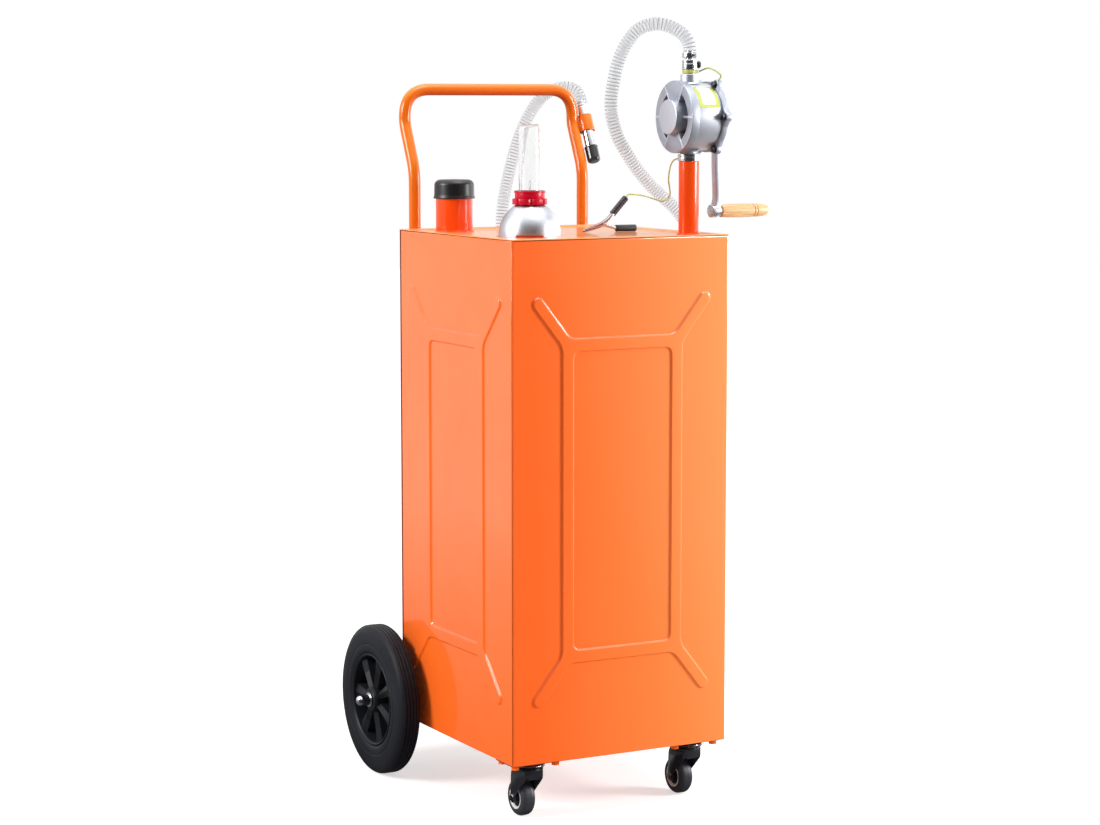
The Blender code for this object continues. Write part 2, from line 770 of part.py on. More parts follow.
def build_filler(steel, plastic, rubber, on, gasket_on, cap_on):
    """The filler neck, its screw cap and the gasket between them."""
    at = (FILLER_X, FILLER_Y, TANK_TOP)
    bore = NECK_RADIUS - NECK_WALL
    neck = pipe(bore, NECK_RADIUS, -NECK_DROP, NECK_HEIGHT, SIDES_MEDIUM)
    piece("filler_neck", neck, steel, on, at)
    seat = NECK_HEIGHT + GAP
    seal = pipe(bore, NECK_RADIUS, seat, seat + GASKET_HEIGHT, SIDES_MEDIUM)
    piece("cap_gasket", seal, rubber, gasket_on, at)
    inside = NECK_RADIUS + THREAD_ROOM
    outside = inside + CAP_WALL
    ceiling = seat + GASKET_HEIGHT + GAP
    cap = [
        (0, ceiling),
        (inside, ceiling),
        (inside, CAP_SKIRT),
        (outside + CAP_LIP, CAP_SKIRT),
        (outside + CAP_LIP, CAP_SKIRT + CAP_LIP_HEIGHT / 2),
        (outside, CAP_SKIRT + CAP_LIP_HEIGHT),
        (outside, CAP_TOP - CAP_CROWN),
        (outside - CAP_CROWN / 3, CAP_TOP - CAP_CROWN / 3),
        (outside - CAP_CROWN, CAP_TOP - CAP_LIP),
        (0, CAP_TOP),
    ]
    piece("filler_cap", turned(cap, SIDES_MEDIUM), plastic, cap_on, at)


def build_gauge(chrome, red, clear, steel, plastic, on, float_on):
    """The float gauge: a chrome dome, a red nut, a clear window, and a rod on a float."""
    at = (GAUGE_X, GAUGE_Y, TANK_TOP)
    foot = GAP - RECESS
    steps = 5
    neck_inside = WINDOW_RADIUS + GAP
    stop = math.acos(GAUGE_COLLAR / DOME_RADIUS)
    outer = []
    inner = []
    for k in range(steps + 1):
        a = stop * k / steps
        x = math.cos(a)
        z = math.sin(a)
        outer.append((DOME_RADIUS * x, foot + DOME_WALL + (DOME_HEIGHT - DOME_WALL) * z))
        inner.append(((DOME_RADIUS - DOME_WALL) * x, foot + (DOME_HEIGHT - DOME_WALL) * z))
    inner[-1] = (neck_inside, inner[-1][1])
    dome = [
        (DOME_RADIUS - DOME_WALL, foot),
        (DOME_FLANGE, foot),
        (DOME_FLANGE, foot + DOME_WALL),
        *outer,
        (GAUGE_COLLAR, NUT_BOTTOM - GAP),
        (neck_inside, NUT_BOTTOM - GAP),
        *inner[:0:-1],
    ]
    piece("gauge_dome", turned(dome, SIDES_MEDIUM, closed=True), chrome, on, at)
    nut = [
        (neck_inside, NUT_BOTTOM),
        (NUT_FLANGE, NUT_BOTTOM),
        (NUT_FLANGE, NUT_STEP),
        (NUT_RADIUS, NUT_STEP),
        (NUT_RADIUS, NUT_TOP),
        (neck_inside, NUT_TOP),
    ]
    piece("gauge_nut", turned(nut, SIDES_MEDIUM, closed=True), red, on, at)
    bore = WINDOW_RADIUS - WINDOW_WALL
    guide = ROD_RADIUS + RUN
    window = [
        (guide, WINDOW_BOTTOM),
        (WINDOW_RADIUS, WINDOW_BOTTOM),
        (WINDOW_RADIUS, WINDOW_TOP - WINDOW_CROWN),
        (WINDOW_RADIUS - WINDOW_CROWN, WINDOW_TOP),
        (0, WINDOW_TOP),
        (0, WINDOW_TOP - WINDOW_WALL),
        (bore, WINDOW_TOP - WINDOW_CROWN - WINDOW_WALL),
        (bore, WINDOW_BOTTOM + ROD_STOP_HEIGHT),
        (guide, WINDOW_BOTTOM + ROD_STOP_HEIGHT),
    ]
    piece("gauge_tube", turned(window, SIDES_MEDIUM, closed=True), clear, on, at)
    rest = WINDOW_BOTTOM + ROD_STOP_HEIGHT + GAP
    float_top = FLOAT_TOP + FLOAT_NECK
    needle = [
        (0, float_top + GAP),
        (ROD_RADIUS, float_top + GAP),
        (ROD_RADIUS, rest),
        (ROD_STOP_RADIUS, rest),
        (ROD_STOP_RADIUS, rest + ROD_STOP_HEIGHT),
        (ROD_RADIUS, rest + ROD_STOP_HEIGHT),
        (ROD_RADIUS, ROD_TOP),
        (0, ROD_TOP),
    ]
    piece("float_rod", turned(needle, SIDES_TINY), steel, float_on, at)
    drum = [
        (0, FLOAT_TOP - FLOAT_HEIGHT),
        (FLOAT_RADIUS - FLOAT_NECK, FLOAT_TOP - FLOAT_HEIGHT),
        (FLOAT_RADIUS, FLOAT_TOP - FLOAT_HEIGHT + FLOAT_NECK),
        (FLOAT_RADIUS, FLOAT_TOP - FLOAT_NECK),
        (FLOAT_RADIUS - FLOAT_NECK, FLOAT_TOP),
        (FLOAT_NECK, FLOAT_TOP),
        (FLOAT_NECK, float_top),
        (0, float_top),
    ]
    piece("level_float", turned(drum, SIDES_SMALL), plastic, float_on, at)


def build_standpipe(paintwork, steel, plastic, on):
    """The welded post, the union on it, and the suction pipe with its strainer inside the tank."""
    at = (POST_X, POST_Y, TANK_TOP)
    bore = POST_RADIUS - POST_WALL
    post = pipe(bore, POST_RADIUS, GAP - RECESS, POST_TOP, SIDES_MEDIUM)
    piece("pump_post", post, paintwork, on, at)
    swivel = [
        (DIP_RADIUS + GAP, POST_TOP + GAP),
        (UNION_RADIUS, POST_TOP + GAP),
        (UNION_RADIUS, UNION_TOP - BITE),
        (UNION_RADIUS - BITE, UNION_TOP),
        (PORT_RADIUS, UNION_TOP),
        (PORT_RADIUS, DIP_TOP + GAP),
        (DIP_RADIUS + GAP, DIP_TOP + GAP),
    ]
    piece("pump_union", turned(swivel, SIDES_MEDIUM, closed=True), steel, on, at)
    foot = TANK_CLEARANCE + DIP_FOOT - TANK_TOP
    dip = pipe(DIP_RADIUS - DIP_WALL, DIP_RADIUS, foot, DIP_TOP, SIDES_SMALL)
    piece("dip_tube", dip, steel, on, at)
    low = TANK_CLEARANCE + STRAINER_BOTTOM - TANK_TOP
    high = TANK_CLEARANCE + STRAINER_TOP - TANK_TOP
    inside = STRAINER_RADIUS - STRAINER_WALL
    cup = [
        (0, low),
        (STRAINER_RADIUS, low),
        (STRAINER_RADIUS, high),
        (DIP_RADIUS + GAP, high),
        (DIP_RADIUS + GAP, high - STRAINER_WALL),
        (inside, high - STRAINER_WALL),
        (inside, low + STRAINER_WALL),
        (0, low + STRAINER_WALL),
    ]
    strainer = piece("foot_strainer", turned(cup, SIDES_SMALL, closed=True), plastic, on, at)
    margin = (high - low) / 4
    reach = STRAINER_RADIUS + OVERRUN
    for k in range(STRAINER_SLOTS // 2):
        slot = bar((-reach, -STRAINER_SLOT / 2, low + margin), (reach, STRAINER_SLOT / 2, high - margin))
        turn = Matrix.Rotation(math.pi * k / (STRAINER_SLOTS // 2), 4, "Z")
        cut(strainer, helper(f"strainer_slot_{k}", slot, on, at, turn))


def build_pump(cast, steel, on):
    """The pump's housing: a short cylinder between a ribbed front cover and a six-eared rear cover."""
    axis = (POST_X, POST_Y, PUMP_Z)
    body = rod(BODY_RADIUS, BODY_LEFT, BODY_RIGHT, SIDES_LARGE)
    body = piece("pump_body", body, cast, on, axis, ALONG_X)
    inlet_low = TANK_TOP + UNION_TOP + GAP
    outlet_high = TANK_TOP + OUTLET_TOP
    inlet = rod(INLET_RADIUS, inlet_low, PUMP_Z - CAVITY_RADIUS, SIDES_SMALL)
    outlet = rod(OUTLET_RADIUS, PUMP_Z + CAVITY_RADIUS, outlet_high, SIDES_SMALL)
    join(body, helper("inlet_boss", inlet, on, (POST_X, POST_Y, 0)))
    join(body, helper("outlet_boss", outlet, on, (POST_X, POST_Y, 0)))
    cavity = rod(CAVITY_RADIUS, BODY_LEFT - OVERRUN, BODY_RIGHT + OVERRUN, SIDES_MEDIUM)
    cavity_at = (POST_X, POST_Y, PUMP_Z - CAVITY_OFFSET)
    cut(body, helper("pump_cavity", cavity, on, cavity_at, ALONG_X))
    port = rod(PORT_RADIUS, inlet_low - OVERRUN, outlet_high + OVERRUN, SIDES_SMALL)
    cut(body, helper("pump_ports", port, on, (POST_X, POST_Y, 0)))

    floor = COVER_LEFT + POCKET_DEPTH
    back = BODY_LEFT - GAP
    dish = [
        (0, COVER_BOSS_LEFT),
        (COVER_BOSS - BITE, COVER_BOSS_LEFT),
        (COVER_BOSS, COVER_BOSS_LEFT + BITE),
        (COVER_BOSS, floor),
        (COVER_RADIUS - COVER_RIM, floor),
        (COVER_RADIUS - COVER_RIM, COVER_LEFT),
        (COVER_RADIUS - BITE, COVER_LEFT),
        (COVER_RADIUS, COVER_LEFT + BITE),
        (COVER_RADIUS, back),
        (SHAFT_RADIUS + RUN, back),
        (SHAFT_RADIUS + RUN, SHAFT_LEFT - GAP),
        (0, SHAFT_LEFT - GAP),
    ]
    cover = piece("pump_front_cover", turned(dish, SIDES_LARGE), cast, on, axis, ALONG_X)
    inside = COVER_BOSS - OVERRUN
    outside = COVER_RADIUS - COVER_RIM / 2
    crest = [
        (inside, COVER_BOSS_LEFT + 2 * BITE),
        (COVER_BOSS, COVER_BOSS_LEFT + 2 * BITE),
        (outside, COVER_LEFT + BITE),
        (outside, floor + BITE),
        (inside, floor + BITE),
    ]
    for k in range(RIB_COUNT):
        rib = slab(crest, RIB_WIDTH, low=-RIB_WIDTH / 2)
        turn = Matrix.Rotation(2 * math.pi * k / RIB_COUNT, 4, "X")
        lay = Matrix(((0, 1, 0, 0), (-1, 0, 0, 0), (0, 0, 1, 0), (0, 0, 0, 1)))
        join(cover, helper(f"cover_rib_{k}", rib, on, axis, turn @ lay))

    left = BODY_RIGHT + GAP
    outline = []
    for k in range(EAR_COUNT):
        middle_angle = 2 * math.pi * k / EAR_COUNT
        middle = (EAR_CIRCLE * math.cos(middle_angle), EAR_CIRCLE * math.sin(middle_angle))
        for step in (-1, 0, 1):
            a = middle_angle + step * math.pi / EAR_COUNT
            outline.append((middle[0] + EAR_RADIUS * math.cos(a), middle[1] + EAR_RADIUS * math.sin(a)))
    plate = slab(outline, FLANGE_RIGHT - left, low=left)
    spin = Matrix.Rotation(math.radians(90), 4, "X")
    rear = piece("pump_rear_cover", plate, cast, on, axis, spin @ ALONG_X)
    bearing = [
        (0, left + BITE),
        (BODY_RADIUS - COVER_RIM, left + BITE),
        (BODY_RADIUS - COVER_RIM, FLANGE_RIGHT + BITE),
        (BEARING_RADIUS, BEARING_RIGHT - BITE),
        (BEARING_RADIUS, BEARING_RIGHT),
        (0, BEARING_RIGHT),
    ]
    join(rear, helper("rear_bearing", turned(bearing, SIDES_MEDIUM), on, axis, ALONG_X))
    for k in range(EAR_COUNT):
        a = 2 * math.pi * k / EAR_COUNT
        spot = (POST_X, POST_Y - EAR_CIRCLE * math.cos(a), PUMP_Z + EAR_CIRCLE * math.sin(a))
        head = rod(BOLT_HEAD, left - BOLT_HEAD_HEIGHT, left + BITE, 6)
        join(rear, helper(f"cover_bolt_{k}", head, on, spot, ALONG_X))
    hole = rod(SHAFT_RADIUS + RUN, left - OVERRUN, BEARING_RIGHT + OVERRUN, SIDES_SMALL)
    cut(rear, helper("rear_shaft_hole", hole, on, axis, ALONG_X))


def build_rotor(steel, plastic, on):
    """The shaft, the slotted rotor on it, and the vanes, drawn in to the cavity's near side."""
    axis = (POST_X, POST_Y, PUMP_Z)
    left = BODY_LEFT + GAP
    right = BODY_RIGHT - GAP
    shaft = rod(SHAFT_RADIUS, SHAFT_LEFT, SHAFT_RIGHT, SIDES_SMALL)
    piece("pump_shaft", shaft, steel, on, axis, ALONG_X)
    rotor = pipe(SHAFT_RADIUS + GAP, ROTOR_RADIUS, left, right, SIDES_MEDIUM)
    rotor = piece("pump_rotor", rotor, steel, on, axis, ALONG_X)
    for k in range(VANE_COUNT):
        turn = Matrix.Rotation(2 * math.pi * k / VANE_COUNT, 4, "X")
        low = (left - OVERRUN, -VANE_SLOT / 2, VANE_FOOT - GAP)
        high = (right + OVERRUN, VANE_SLOT / 2, ROTOR_RADIUS + OVERRUN)
        cut(rotor, helper(f"vane_slot_{k}", bar(low, high), on, axis, turn))
        low = (left, -VANE_WIDTH / 2, VANE_FOOT)
        high = (right, VANE_WIDTH / 2, VANE_TIP)
        piece(f"pump_vane_{k + 1}", bar(low, high), plastic, on, axis, turn)


def build_crank(cast, steel, wood, on, grip_on):
    """The cranked arm, its nut and the turning wooden grip."""
    axis = (POST_X, POST_Y, PUMP_Z)
    hub_middle = (HUB_LEFT + HUB_RIGHT) / 2
    eye_middle = (EYE_LEFT + EYE_RIGHT) / 2
    bend_shares = ((0.0, 0.0), (0.25, 0.1), (0.48, 0.15), (0.65, 0.0), (0.80, -0.55), (0.90, -0.2))
    bend_shares += ((1.0, 1.0),)
    line = []
    for down, over in bend_shares:
        x = hub_middle + (eye_middle - hub_middle) * max(over, 0) - ARM_BEND * min(over, 0) / 2
        line.append((x, -CRANK_REACH * down))
    outline = [(x - ARM_HALF, z) for x, z in line] + [(x + ARM_HALF, z) for x, z in reversed(line)]
    web = slab(outline, ARM_THICK, low=-ARM_THICK / 2)
    arm = piece("crank_arm", web, cast, on, axis, UPRIGHT)
    hub = rod(HUB_RADIUS, HUB_LEFT, HUB_RIGHT, SIDES_MEDIUM)
    join(arm, helper("crank_hub", hub, on, axis, ALONG_X))
    eye_at = (POST_X, POST_Y, PUMP_Z - CRANK_REACH)
    eye = [
        (0, EYE_LEFT),
        (EYE_RADIUS, EYE_LEFT),
        (EYE_RADIUS, EYE_RIGHT),
        (FERRULE_RADIUS, EYE_RIGHT),
        (FERRULE_RADIUS, GRIP_LEFT - GAP),
        (SPINDLE_RADIUS, GRIP_LEFT - GAP),
        (SPINDLE_RADIUS, SPINDLE_END),
        (0, SPINDLE_END),
    ]
    join(arm, helper("crank_eye", turned(eye, SIDES_SMALL), on, eye_at, ALONG_X))
    hole = rod(SHAFT_RADIUS + GAP, HUB_LEFT - OVERRUN, HUB_RIGHT + OVERRUN, SIDES_SMALL)
    cut(arm, helper("hub_hole", hole, on, axis, ALONG_X))
    nut_left = HUB_RIGHT + GAP
    nut_bore = SHAFT_RADIUS + GAP
    nut_hole = circle(nut_bore, SIDES_SMALL)
    nut = slab(circle(CRANK_NUT_RADIUS, 6), CRANK_NUT_HEIGHT, [nut_hole], nut_left)
    piece("crank_nut", nut, steel, on, axis, ALONG_X)
    length = GRIP_RIGHT - GRIP_LEFT
    grip_shares = ((0.0, 0.90), (0.05, 0.95), (0.35, 1.0), (0.62, 0.97))
    groove_shares = (0.66, 0.72)
    tip_shares = ((0.80, 0.93), (0.93, 0.80), (0.985, 0.55), (1.0, 0.30))
    bore = SPINDLE_RADIUS + RUN
    grip = [(0, SPINDLE_END + RUN), (bore, SPINDLE_END + RUN), (bore, GRIP_LEFT)]
    grip += [(GRIP_RADIUS * wide, GRIP_LEFT + length * down) for down, wide in grip_shares]
    for down in groove_shares:
        middle = GRIP_LEFT + length * down
        for step, deep in ((-1, 0), (0, 1), (1, 0)):
            grip.append((GRIP_RADIUS * 0.97 - GRIP_GROOVE * deep, middle + GRIP_GROOVE * step))
    grip += [(GRIP_RADIUS * wide, GRIP_LEFT + length * down) for down, wide in tip_shares]
    grip.append((0, GRIP_RIGHT))
    piece("crank_grip", turned(grip, SIDES_SMALL), wood, grip_on, eye_at, ALONG_X)


def build_outlet(steel, black, wire, on, knob_on):
    """The hose fitting on the pump's outlet, its thumb knob, and the bonding wire to the rear cover."""
    at = (POST_X, POST_Y, TANK_TOP)
    fitting = [
        (FITTING_BORE, OUTLET_TOP + GAP),
        (NECK_RING_RADIUS, OUTLET_TOP + GAP),
        (NECK_RING_RADIUS, RING_TOP + GAP),
        (FITTING_RADIUS, RING_TOP + GAP),
        (FITTING_RADIUS, FITTING_TOP),
        (BARB_RADIUS, FITTING_TOP),
        (BARB_RADIUS, FITTING_TOP + BARB_LENGTH),
        (FITTING_BORE, FITTING_TOP + BARB_LENGTH),
    ]
    piece("outlet_fitting", turned(fitting, SIDES_MEDIUM, closed=True), steel, on, at)
    knob = [
        (0, FITTING_RADIUS + GAP),
        (KNOB_STEM, FITTING_RADIUS + GAP),
        (KNOB_STEM, FITTING_RADIUS + BITE),
        (KNOB_RADIUS, FITTING_RADIUS + BITE),
        (KNOB_RADIUS, FITTING_RADIUS + KNOB_LENGTH - BITE),
        (KNOB_RADIUS - BITE, FITTING_RADIUS + KNOB_LENGTH),
        (0, FITTING_RADIUS + KNOB_LENGTH),
    ]
    knob_at = (POST_X, POST_Y, TANK_TOP + KNOB_RISE)
    piece("outlet_knob", turned(knob, SIDES_SMALL), black, knob_on, knob_at, ALONG_X)
    ring = pipe(NECK_RING_RADIUS + GAP, RING_OUTER, RING_BOTTOM, RING_TOP, SIDES_MEDIUM)
    ring = piece("bond_wire", ring, wire, on, at)
    start = Vector((POST_X + RING_OUTER - BITE / 2, POST_Y, TANK_TOP + (RING_BOTTOM + RING_TOP) / 2))
    ear_angle = 2 * math.pi / EAR_COUNT
    ear_top = PUMP_Z + EAR_CIRCLE * math.sin(ear_angle)
    ear_y = POST_Y - EAR_CIRCLE * math.cos(ear_angle)
    ear_x = POST_X + (BODY_RIGHT + FLANGE_RIGHT) / 2
    away = Vector((0, -math.cos(ear_angle), math.sin(ear_angle)))
    end = Vector((ear_x, ear_y, ear_top)) + away * (EAR_RADIUS + 2 * GAP)
    rise = end + away * UNION_RADIUS / 2
    top = start.lerp(rise, 0.55) + Vector((0, 0, POST_RADIUS / 2))
    out = start + Vector((KNOB_RADIUS, 0, 0))
    path, _ = smooth_route((start, out, top, rise, end), 14)
    join(ring, helper("bond_lead", tube("bond", path, WIRE_RADIUS, 1), on))


def thinned(path, slack):
    """The path without the points that its chords already pass this close to."""
    kept = [path[0]]
    start = 0
    for end in range(2, len(path)):
        along = (path[end] - path[start]).normalized()
        between = [p - path[start] for p in path[start + 1 : end]]
        if max((away - along * away.dot(along)).length for away in between) > slack:
            start = end - 1
            kept.append(path[start])
    return [*kept, path[-1]]


def straighten(path):
    """Runs the hose's first and last step straight out of the pump and into the nozzle."""
    path[1] = path[0] + Vector((0, 0, (path[1] - path[0]).length))
    path[-2] = path[-1] + NOZZLE_UP_AXIS * (path[-2] - path[-1]).length


def build_hose(clear, on):
    """The ribbed delivery hose, open from end to end."""
    count = 2 * HOSE_RIBS + 1
    route = placed(HOSE_FROM_POST, POST_TOP_AT)
    route += placed(HOSE_PAST_CORNER, Vector((RIGHT_WALL, REAR_WALL, TANK_TOP)))
    route += placed(HOSE_TO_CLIP, CLIP_AT)
    route.append(CLIP_AT + NOZZLE_UP_AXIS * (NOZZLE_UP + HOSE_RADIUS))
    route.append(CLIP_AT + NOZZLE_UP_AXIS * (NOZZLE_UP + GAP))
    path, length = smooth_route(route, count)
    straighten(path)
    shares = [1.0 - RIB_DROP_SHARE * (k % 2) for k in range(count)]
    hose = piece("hose", tube("hose", path, HOSE_RADIUS, 2, shares), clear, on)
    core = thinned(path, BORE_SLACK)
    first = (core[0] - core[1]).normalized() * OVERRUN
    last = (core[-1] - core[-2]).normalized() * OVERRUN
    core = [core[0] + first, *core, core[-1] + last]
    cut(hose, helper("hose_bore", tube("bore", core, HOSE_BORE, 2), on))
    print(f"hose length {length:.3f}")


def build_nozzle(steel, rubber, paintwork, on, cap_on):
    """The spout, its dust cap, and the clip that holds it to the handle's right leg."""
    inside = NOZZLE_RADIUS + GAP
    ring = pipe(inside, inside + CLIP_WALL, -CLIP_HEIGHT / 2, CLIP_HEIGHT / 2, SIDES_SMALL)
    clip = piece("nozzle_clip", ring, paintwork, on, CLIP_AT, NOZZLE_TURN)
    leg = Vector((HANDLE_HALF, leg_y(CLIP_AT.z), CLIP_AT.z)) - CLIP_AT
    away = math.atan2(leg.y, leg.x)
    reach = leg.length
    tall = CLIP_HEIGHT / 2 - BITE
    web = bar((inside + GAP, -CLIP_WEB_HALF, -tall), (reach, CLIP_WEB_HALF, tall))
    web_turn = NOZZLE_TURN @ Matrix.Rotation(away, 4, "Z")
    join(clip, helper("clip_web", web, on, CLIP_AT, web_turn))
    leg_line = [p for p in handle_path() if p.x > HANDLE_HALF - GAP]
    leg_line[-1] += Vector((0, 0, HANDLE_CORNER / 2))
    room = tube("leg_room", leg_line, TUBE_RADIUS + 2 * GAP, 4)
    cut(clip, helper("clip_leg_room", room, on))
    spout = [
        (NOZZLE_BORE, -NOZZLE_DOWN),
        (NOZZLE_RADIUS, -NOZZLE_DOWN),
        (NOZZLE_RADIUS, NOZZLE_UP),
        (BARB_RADIUS, NOZZLE_UP),
        (BARB_RADIUS, NOZZLE_UP + NOZZLE_BARB),
        (FITTING_BORE, NOZZLE_UP + NOZZLE_BARB),
        (FITTING_BORE, NOZZLE_UP),
        (NOZZLE_BORE, NOZZLE_UP - NOZZLE_BARB),
    ]
    piece("nozzle", turned(spout, SIDES_SMALL, closed=True), steel, on, CLIP_AT, NOZZLE_TURN)
    low = -DUST_CAP_TOP - DUST_CAP_LENGTH
    cup = [
        (0, low),
        (DUST_CAP_RADIUS / 2, low + BITE / 2),
        (DUST_CAP_RADIUS - BITE, low + DUST_CAP_FLOOR / 2),
        (DUST_CAP_RADIUS, low + DUST_CAP_FLOOR),
        (DUST_CAP_RADIUS, -DUST_CAP_TOP),
        (NOZZLE_RADIUS + RUN, -DUST_CAP_TOP),
        (NOZZLE_RADIUS + RUN, -NOZZLE_DOWN - GAP),
        (0, -NOZZLE_DOWN - GAP),
    ]
    piece("nozzle_dust_cap", turned(cup, SIDES_SMALL), rubber, cap_on, CLIP_AT, NOZZLE_TURN)


def leg_y(z):
    """How far back the handle's leg stands at a height."""
    low = TANK_TOP + HANDLE_BEND
    high = TANK_TOP + HANDLE_SHOULDER
    share = min(max((z - low) / (high - low), 0.0), 1.0)
    return HANDLE_Y + HANDLE_LEAN * share


def bend(before, corner, after, reach, steps):
    """Points of a round bend at a corner, which starts and ends its reach away from it."""
    start = corner + (before - corner).normalized() * reach
    end = corner + (after - corner).normalized() * reach
    shares = [k / steps for k in range(steps + 1)]
    return [start.lerp(corner, t).lerp(corner.lerp(end, t), t) for t in shares]


def handle_path():
    """The middle line of the bent handle tube."""
    heights = (HANDLE_FOOT, HANDLE_BEND, HANDLE_SHOULDER, HANDLE_TOP)
    foot, low, shoulder, top = (TANK_TOP + height for height in heights)
    right = [
        Vector((HANDLE_HALF, HANDLE_Y, foot)),
        Vector((HANDLE_HALF, HANDLE_Y, low)),
        Vector((HANDLE_HALF, HANDLE_Y + HANDLE_LEAN, shoulder)),
        Vector((HANDLE_HALF, HANDLE_Y + HANDLE_LEAN, top)),
        Vector((0, HANDLE_Y + HANDLE_LEAN, top)),
    ]
    half = [right[0]]
    half += bend(right[0], right[1], right[2], HANDLE_EASE, 2)
    half += bend(right[1], right[2], right[3], HANDLE_EASE / 2, 2)
    half += bend(right[2], right[3], right[4], HANDLE_CORNER, 6)
    return half + [Vector((-p.x, p.y, p.z)) for p in reversed(half)]


def build_handle(look, on):
    """The bent tube handle, and a strap on the rear wall for each leg."""
    piece("handle", tube("handle", handle_path(), TUBE_RADIUS, 3), look, on)
    inside = TUBE_RADIUS + STRAP_ROOM
    outside = inside + STRAP_SHEET
    wall = REAR_WALL + GAP - HANDLE_Y
    flange = wall + STRAP_SHEET
    arc = [math.pi * k / 6 for k in range(7)]
    hoop = [(outside * math.cos(a), outside * math.sin(a)) for a in arc]
    lining = [(inside * math.cos(a), inside * math.sin(a)) for a in reversed(arc)]
    outline = [(outside + STRAP_FLANGE, wall), (outside + STRAP_FLANGE, flange), (outside, flange)]
    outline += [*hoop, (-outside, flange), (-outside - STRAP_FLANGE, flange), (-outside - STRAP_FLANGE, wall)]
    outline += [(-inside, wall), *lining, (inside, wall)]
    for side, name in ((-1, "handle_strap_left"), (1, "handle_strap_right")):
        strap = slab(outline, STRAP_TOP - STRAP_BOTTOM, low=TANK_TOP + STRAP_BOTTOM)
        piece(name, strap, look, on, (side * HANDLE_HALF, HANDLE_Y, 0))


def tyre_profile():
    """The section of a rear tyre."""
    half = WHEEL_WIDTH / 2
    inside = RIM_RADIUS + GAP
    shoulder = WHEEL_RADIUS - TYRE_SHOULDER
    tread_half = half - TYRE_SHOULDER
    points = [(inside, -RIM_HALF), (RIM_RADIUS + TYRE_SHOULDER, -half), (shoulder, -half)]
    points.append((WHEEL_RADIUS, -tread_half))
    points += [(WHEEL_RADIUS, tread_half), (shoulder, half), (RIM_RADIUS + TYRE_SHOULDER, half)]
    points.append((inside, RIM_HALF))
    return points


def build_rear_wheel(side, name, rubber, plastic, chrome, on, root):
    """A rear wheel: a tyre on a hub of seven spokes with a web behind them, its washer and domed nut."""
    middle = side * (WHEEL_FACE - WHEEL_WIDTH / 2)
    at = (middle, AXLE_Y, WHEEL_RADIUS)
    piece(f"{name}_tyre", turned(tyre_profile(), SIDES_LARGE, closed=True), rubber, on, at, ALONG_X)
    rim = pipe(RIM_RADIUS - RIM_WALL, RIM_RADIUS, -RIM_HALF, RIM_HALF, SIDES_LARGE)
    rim = piece(f"{name}_hub", rim, plastic, on, at, ALONG_X)
    pitch = 2 * math.pi / SPOKE_COUNT
    start = math.radians(90)
    low, high = sorted((side * WEB_INNER, side * SPOKE_HALF))
    disc = rod(RIM_RADIUS - RIM_WALL / 2, low, high, SIDES_LARGE)
    join(rim, helper(f"{name}_disc", disc, root, at, ALONG_X))
    deep = WHEEL_WIDTH
    low = min(side * WEB_OUTER, side * (WEB_OUTER + deep))
    for k in range(SPOKE_COUNT):
        middle_angle = start + pitch * (k + 0.5)
        window = []
        for radius, half in ((WINDOW_INNER, SPOKE_ROOT), (WINDOW_OUTER, SPOKE_TIP)):
            swing = pitch / 2 - half / radius
            steps = 1 if radius == WINDOW_INNER else 3
            turns = [swing * (2 * j / steps - 1) for j in range(steps + 1)]
            arc = [(radius * math.cos(middle_angle + a), radius * math.sin(middle_angle + a)) for a in turns]
            window += arc if radius == WINDOW_OUTER else arc[::-1]
        pocket = slab(window, deep, low=low)
        cut(rim, helper(f"{name}_pocket_{k}", pocket, root, at, ALONG_X))
    deep = side * (SPOKE_HALF - BITE)
    section = [(-RIDGE_HALF, deep), (RIDGE_HALF, deep), (0, side * SPOKE_RIDGE)]
    foot = HUB_BOSS_RADIUS + BITE
    length = WINDOW_OUTER - foot
    for k in range(SPOKE_COUNT):
        ridge = slab(section, length, low=foot)
        swing = Matrix.Rotation(start + pitch * k, 4, "Z")
        join(rim, helper(f"{name}_ridge_{k}", ridge, root, at, ALONG_X @ swing @ STAND_ALONG_X))
    boss = rod(HUB_BOSS_RADIUS, -WHEEL_WIDTH / 2 + GAP, WHEEL_WIDTH / 2 - GAP, SIDES_MEDIUM)
    join(rim, helper(f"{name}_boss", boss, root, at, ALONG_X))
    bore = rod(AXLE_RADIUS + RUN, -WHEEL_WIDTH, WHEEL_WIDTH, SIDES_SMALL)
    cut(rim, helper(f"{name}_bore", bore, root, at, ALONG_X))
    face = WHEEL_FACE + GAP
    inside = AXLE_RADIUS + GAP
    nut = [
        (inside, face),
        (NUT_WASHER_RADIUS, face),
        (NUT_WASHER_RADIUS, face + NUT_WASHER),
        (AXLE_NUT_RADIUS, face + NUT_WASHER),
        (AXLE_NUT_RADIUS, AXLE_END - AXLE_NUT_RADIUS / 2),
        (AXLE_NUT_RADIUS * 0.8, AXLE_END - AXLE_NUT_RADIUS / 6),
        (AXLE_NUT_RADIUS / 3, AXLE_END),
        (0, AXLE_END),
        (0, axle_tip() + GAP),
        (inside, axle_tip() + GAP),
    ]
    flip = Matrix.Rotation(math.radians(90 - 90 * side), 4, "Z")
    spot = (0, AXLE_Y, WHEEL_RADIUS)
    piece(f"{name}_axle_nut", turned(nut, SIDES_MEDIUM, closed=True), chrome, root, spot, flip @ ALONG_X)


def axle_tip():
    return AXLE_END - AXLE_NUT_RADIUS / 2


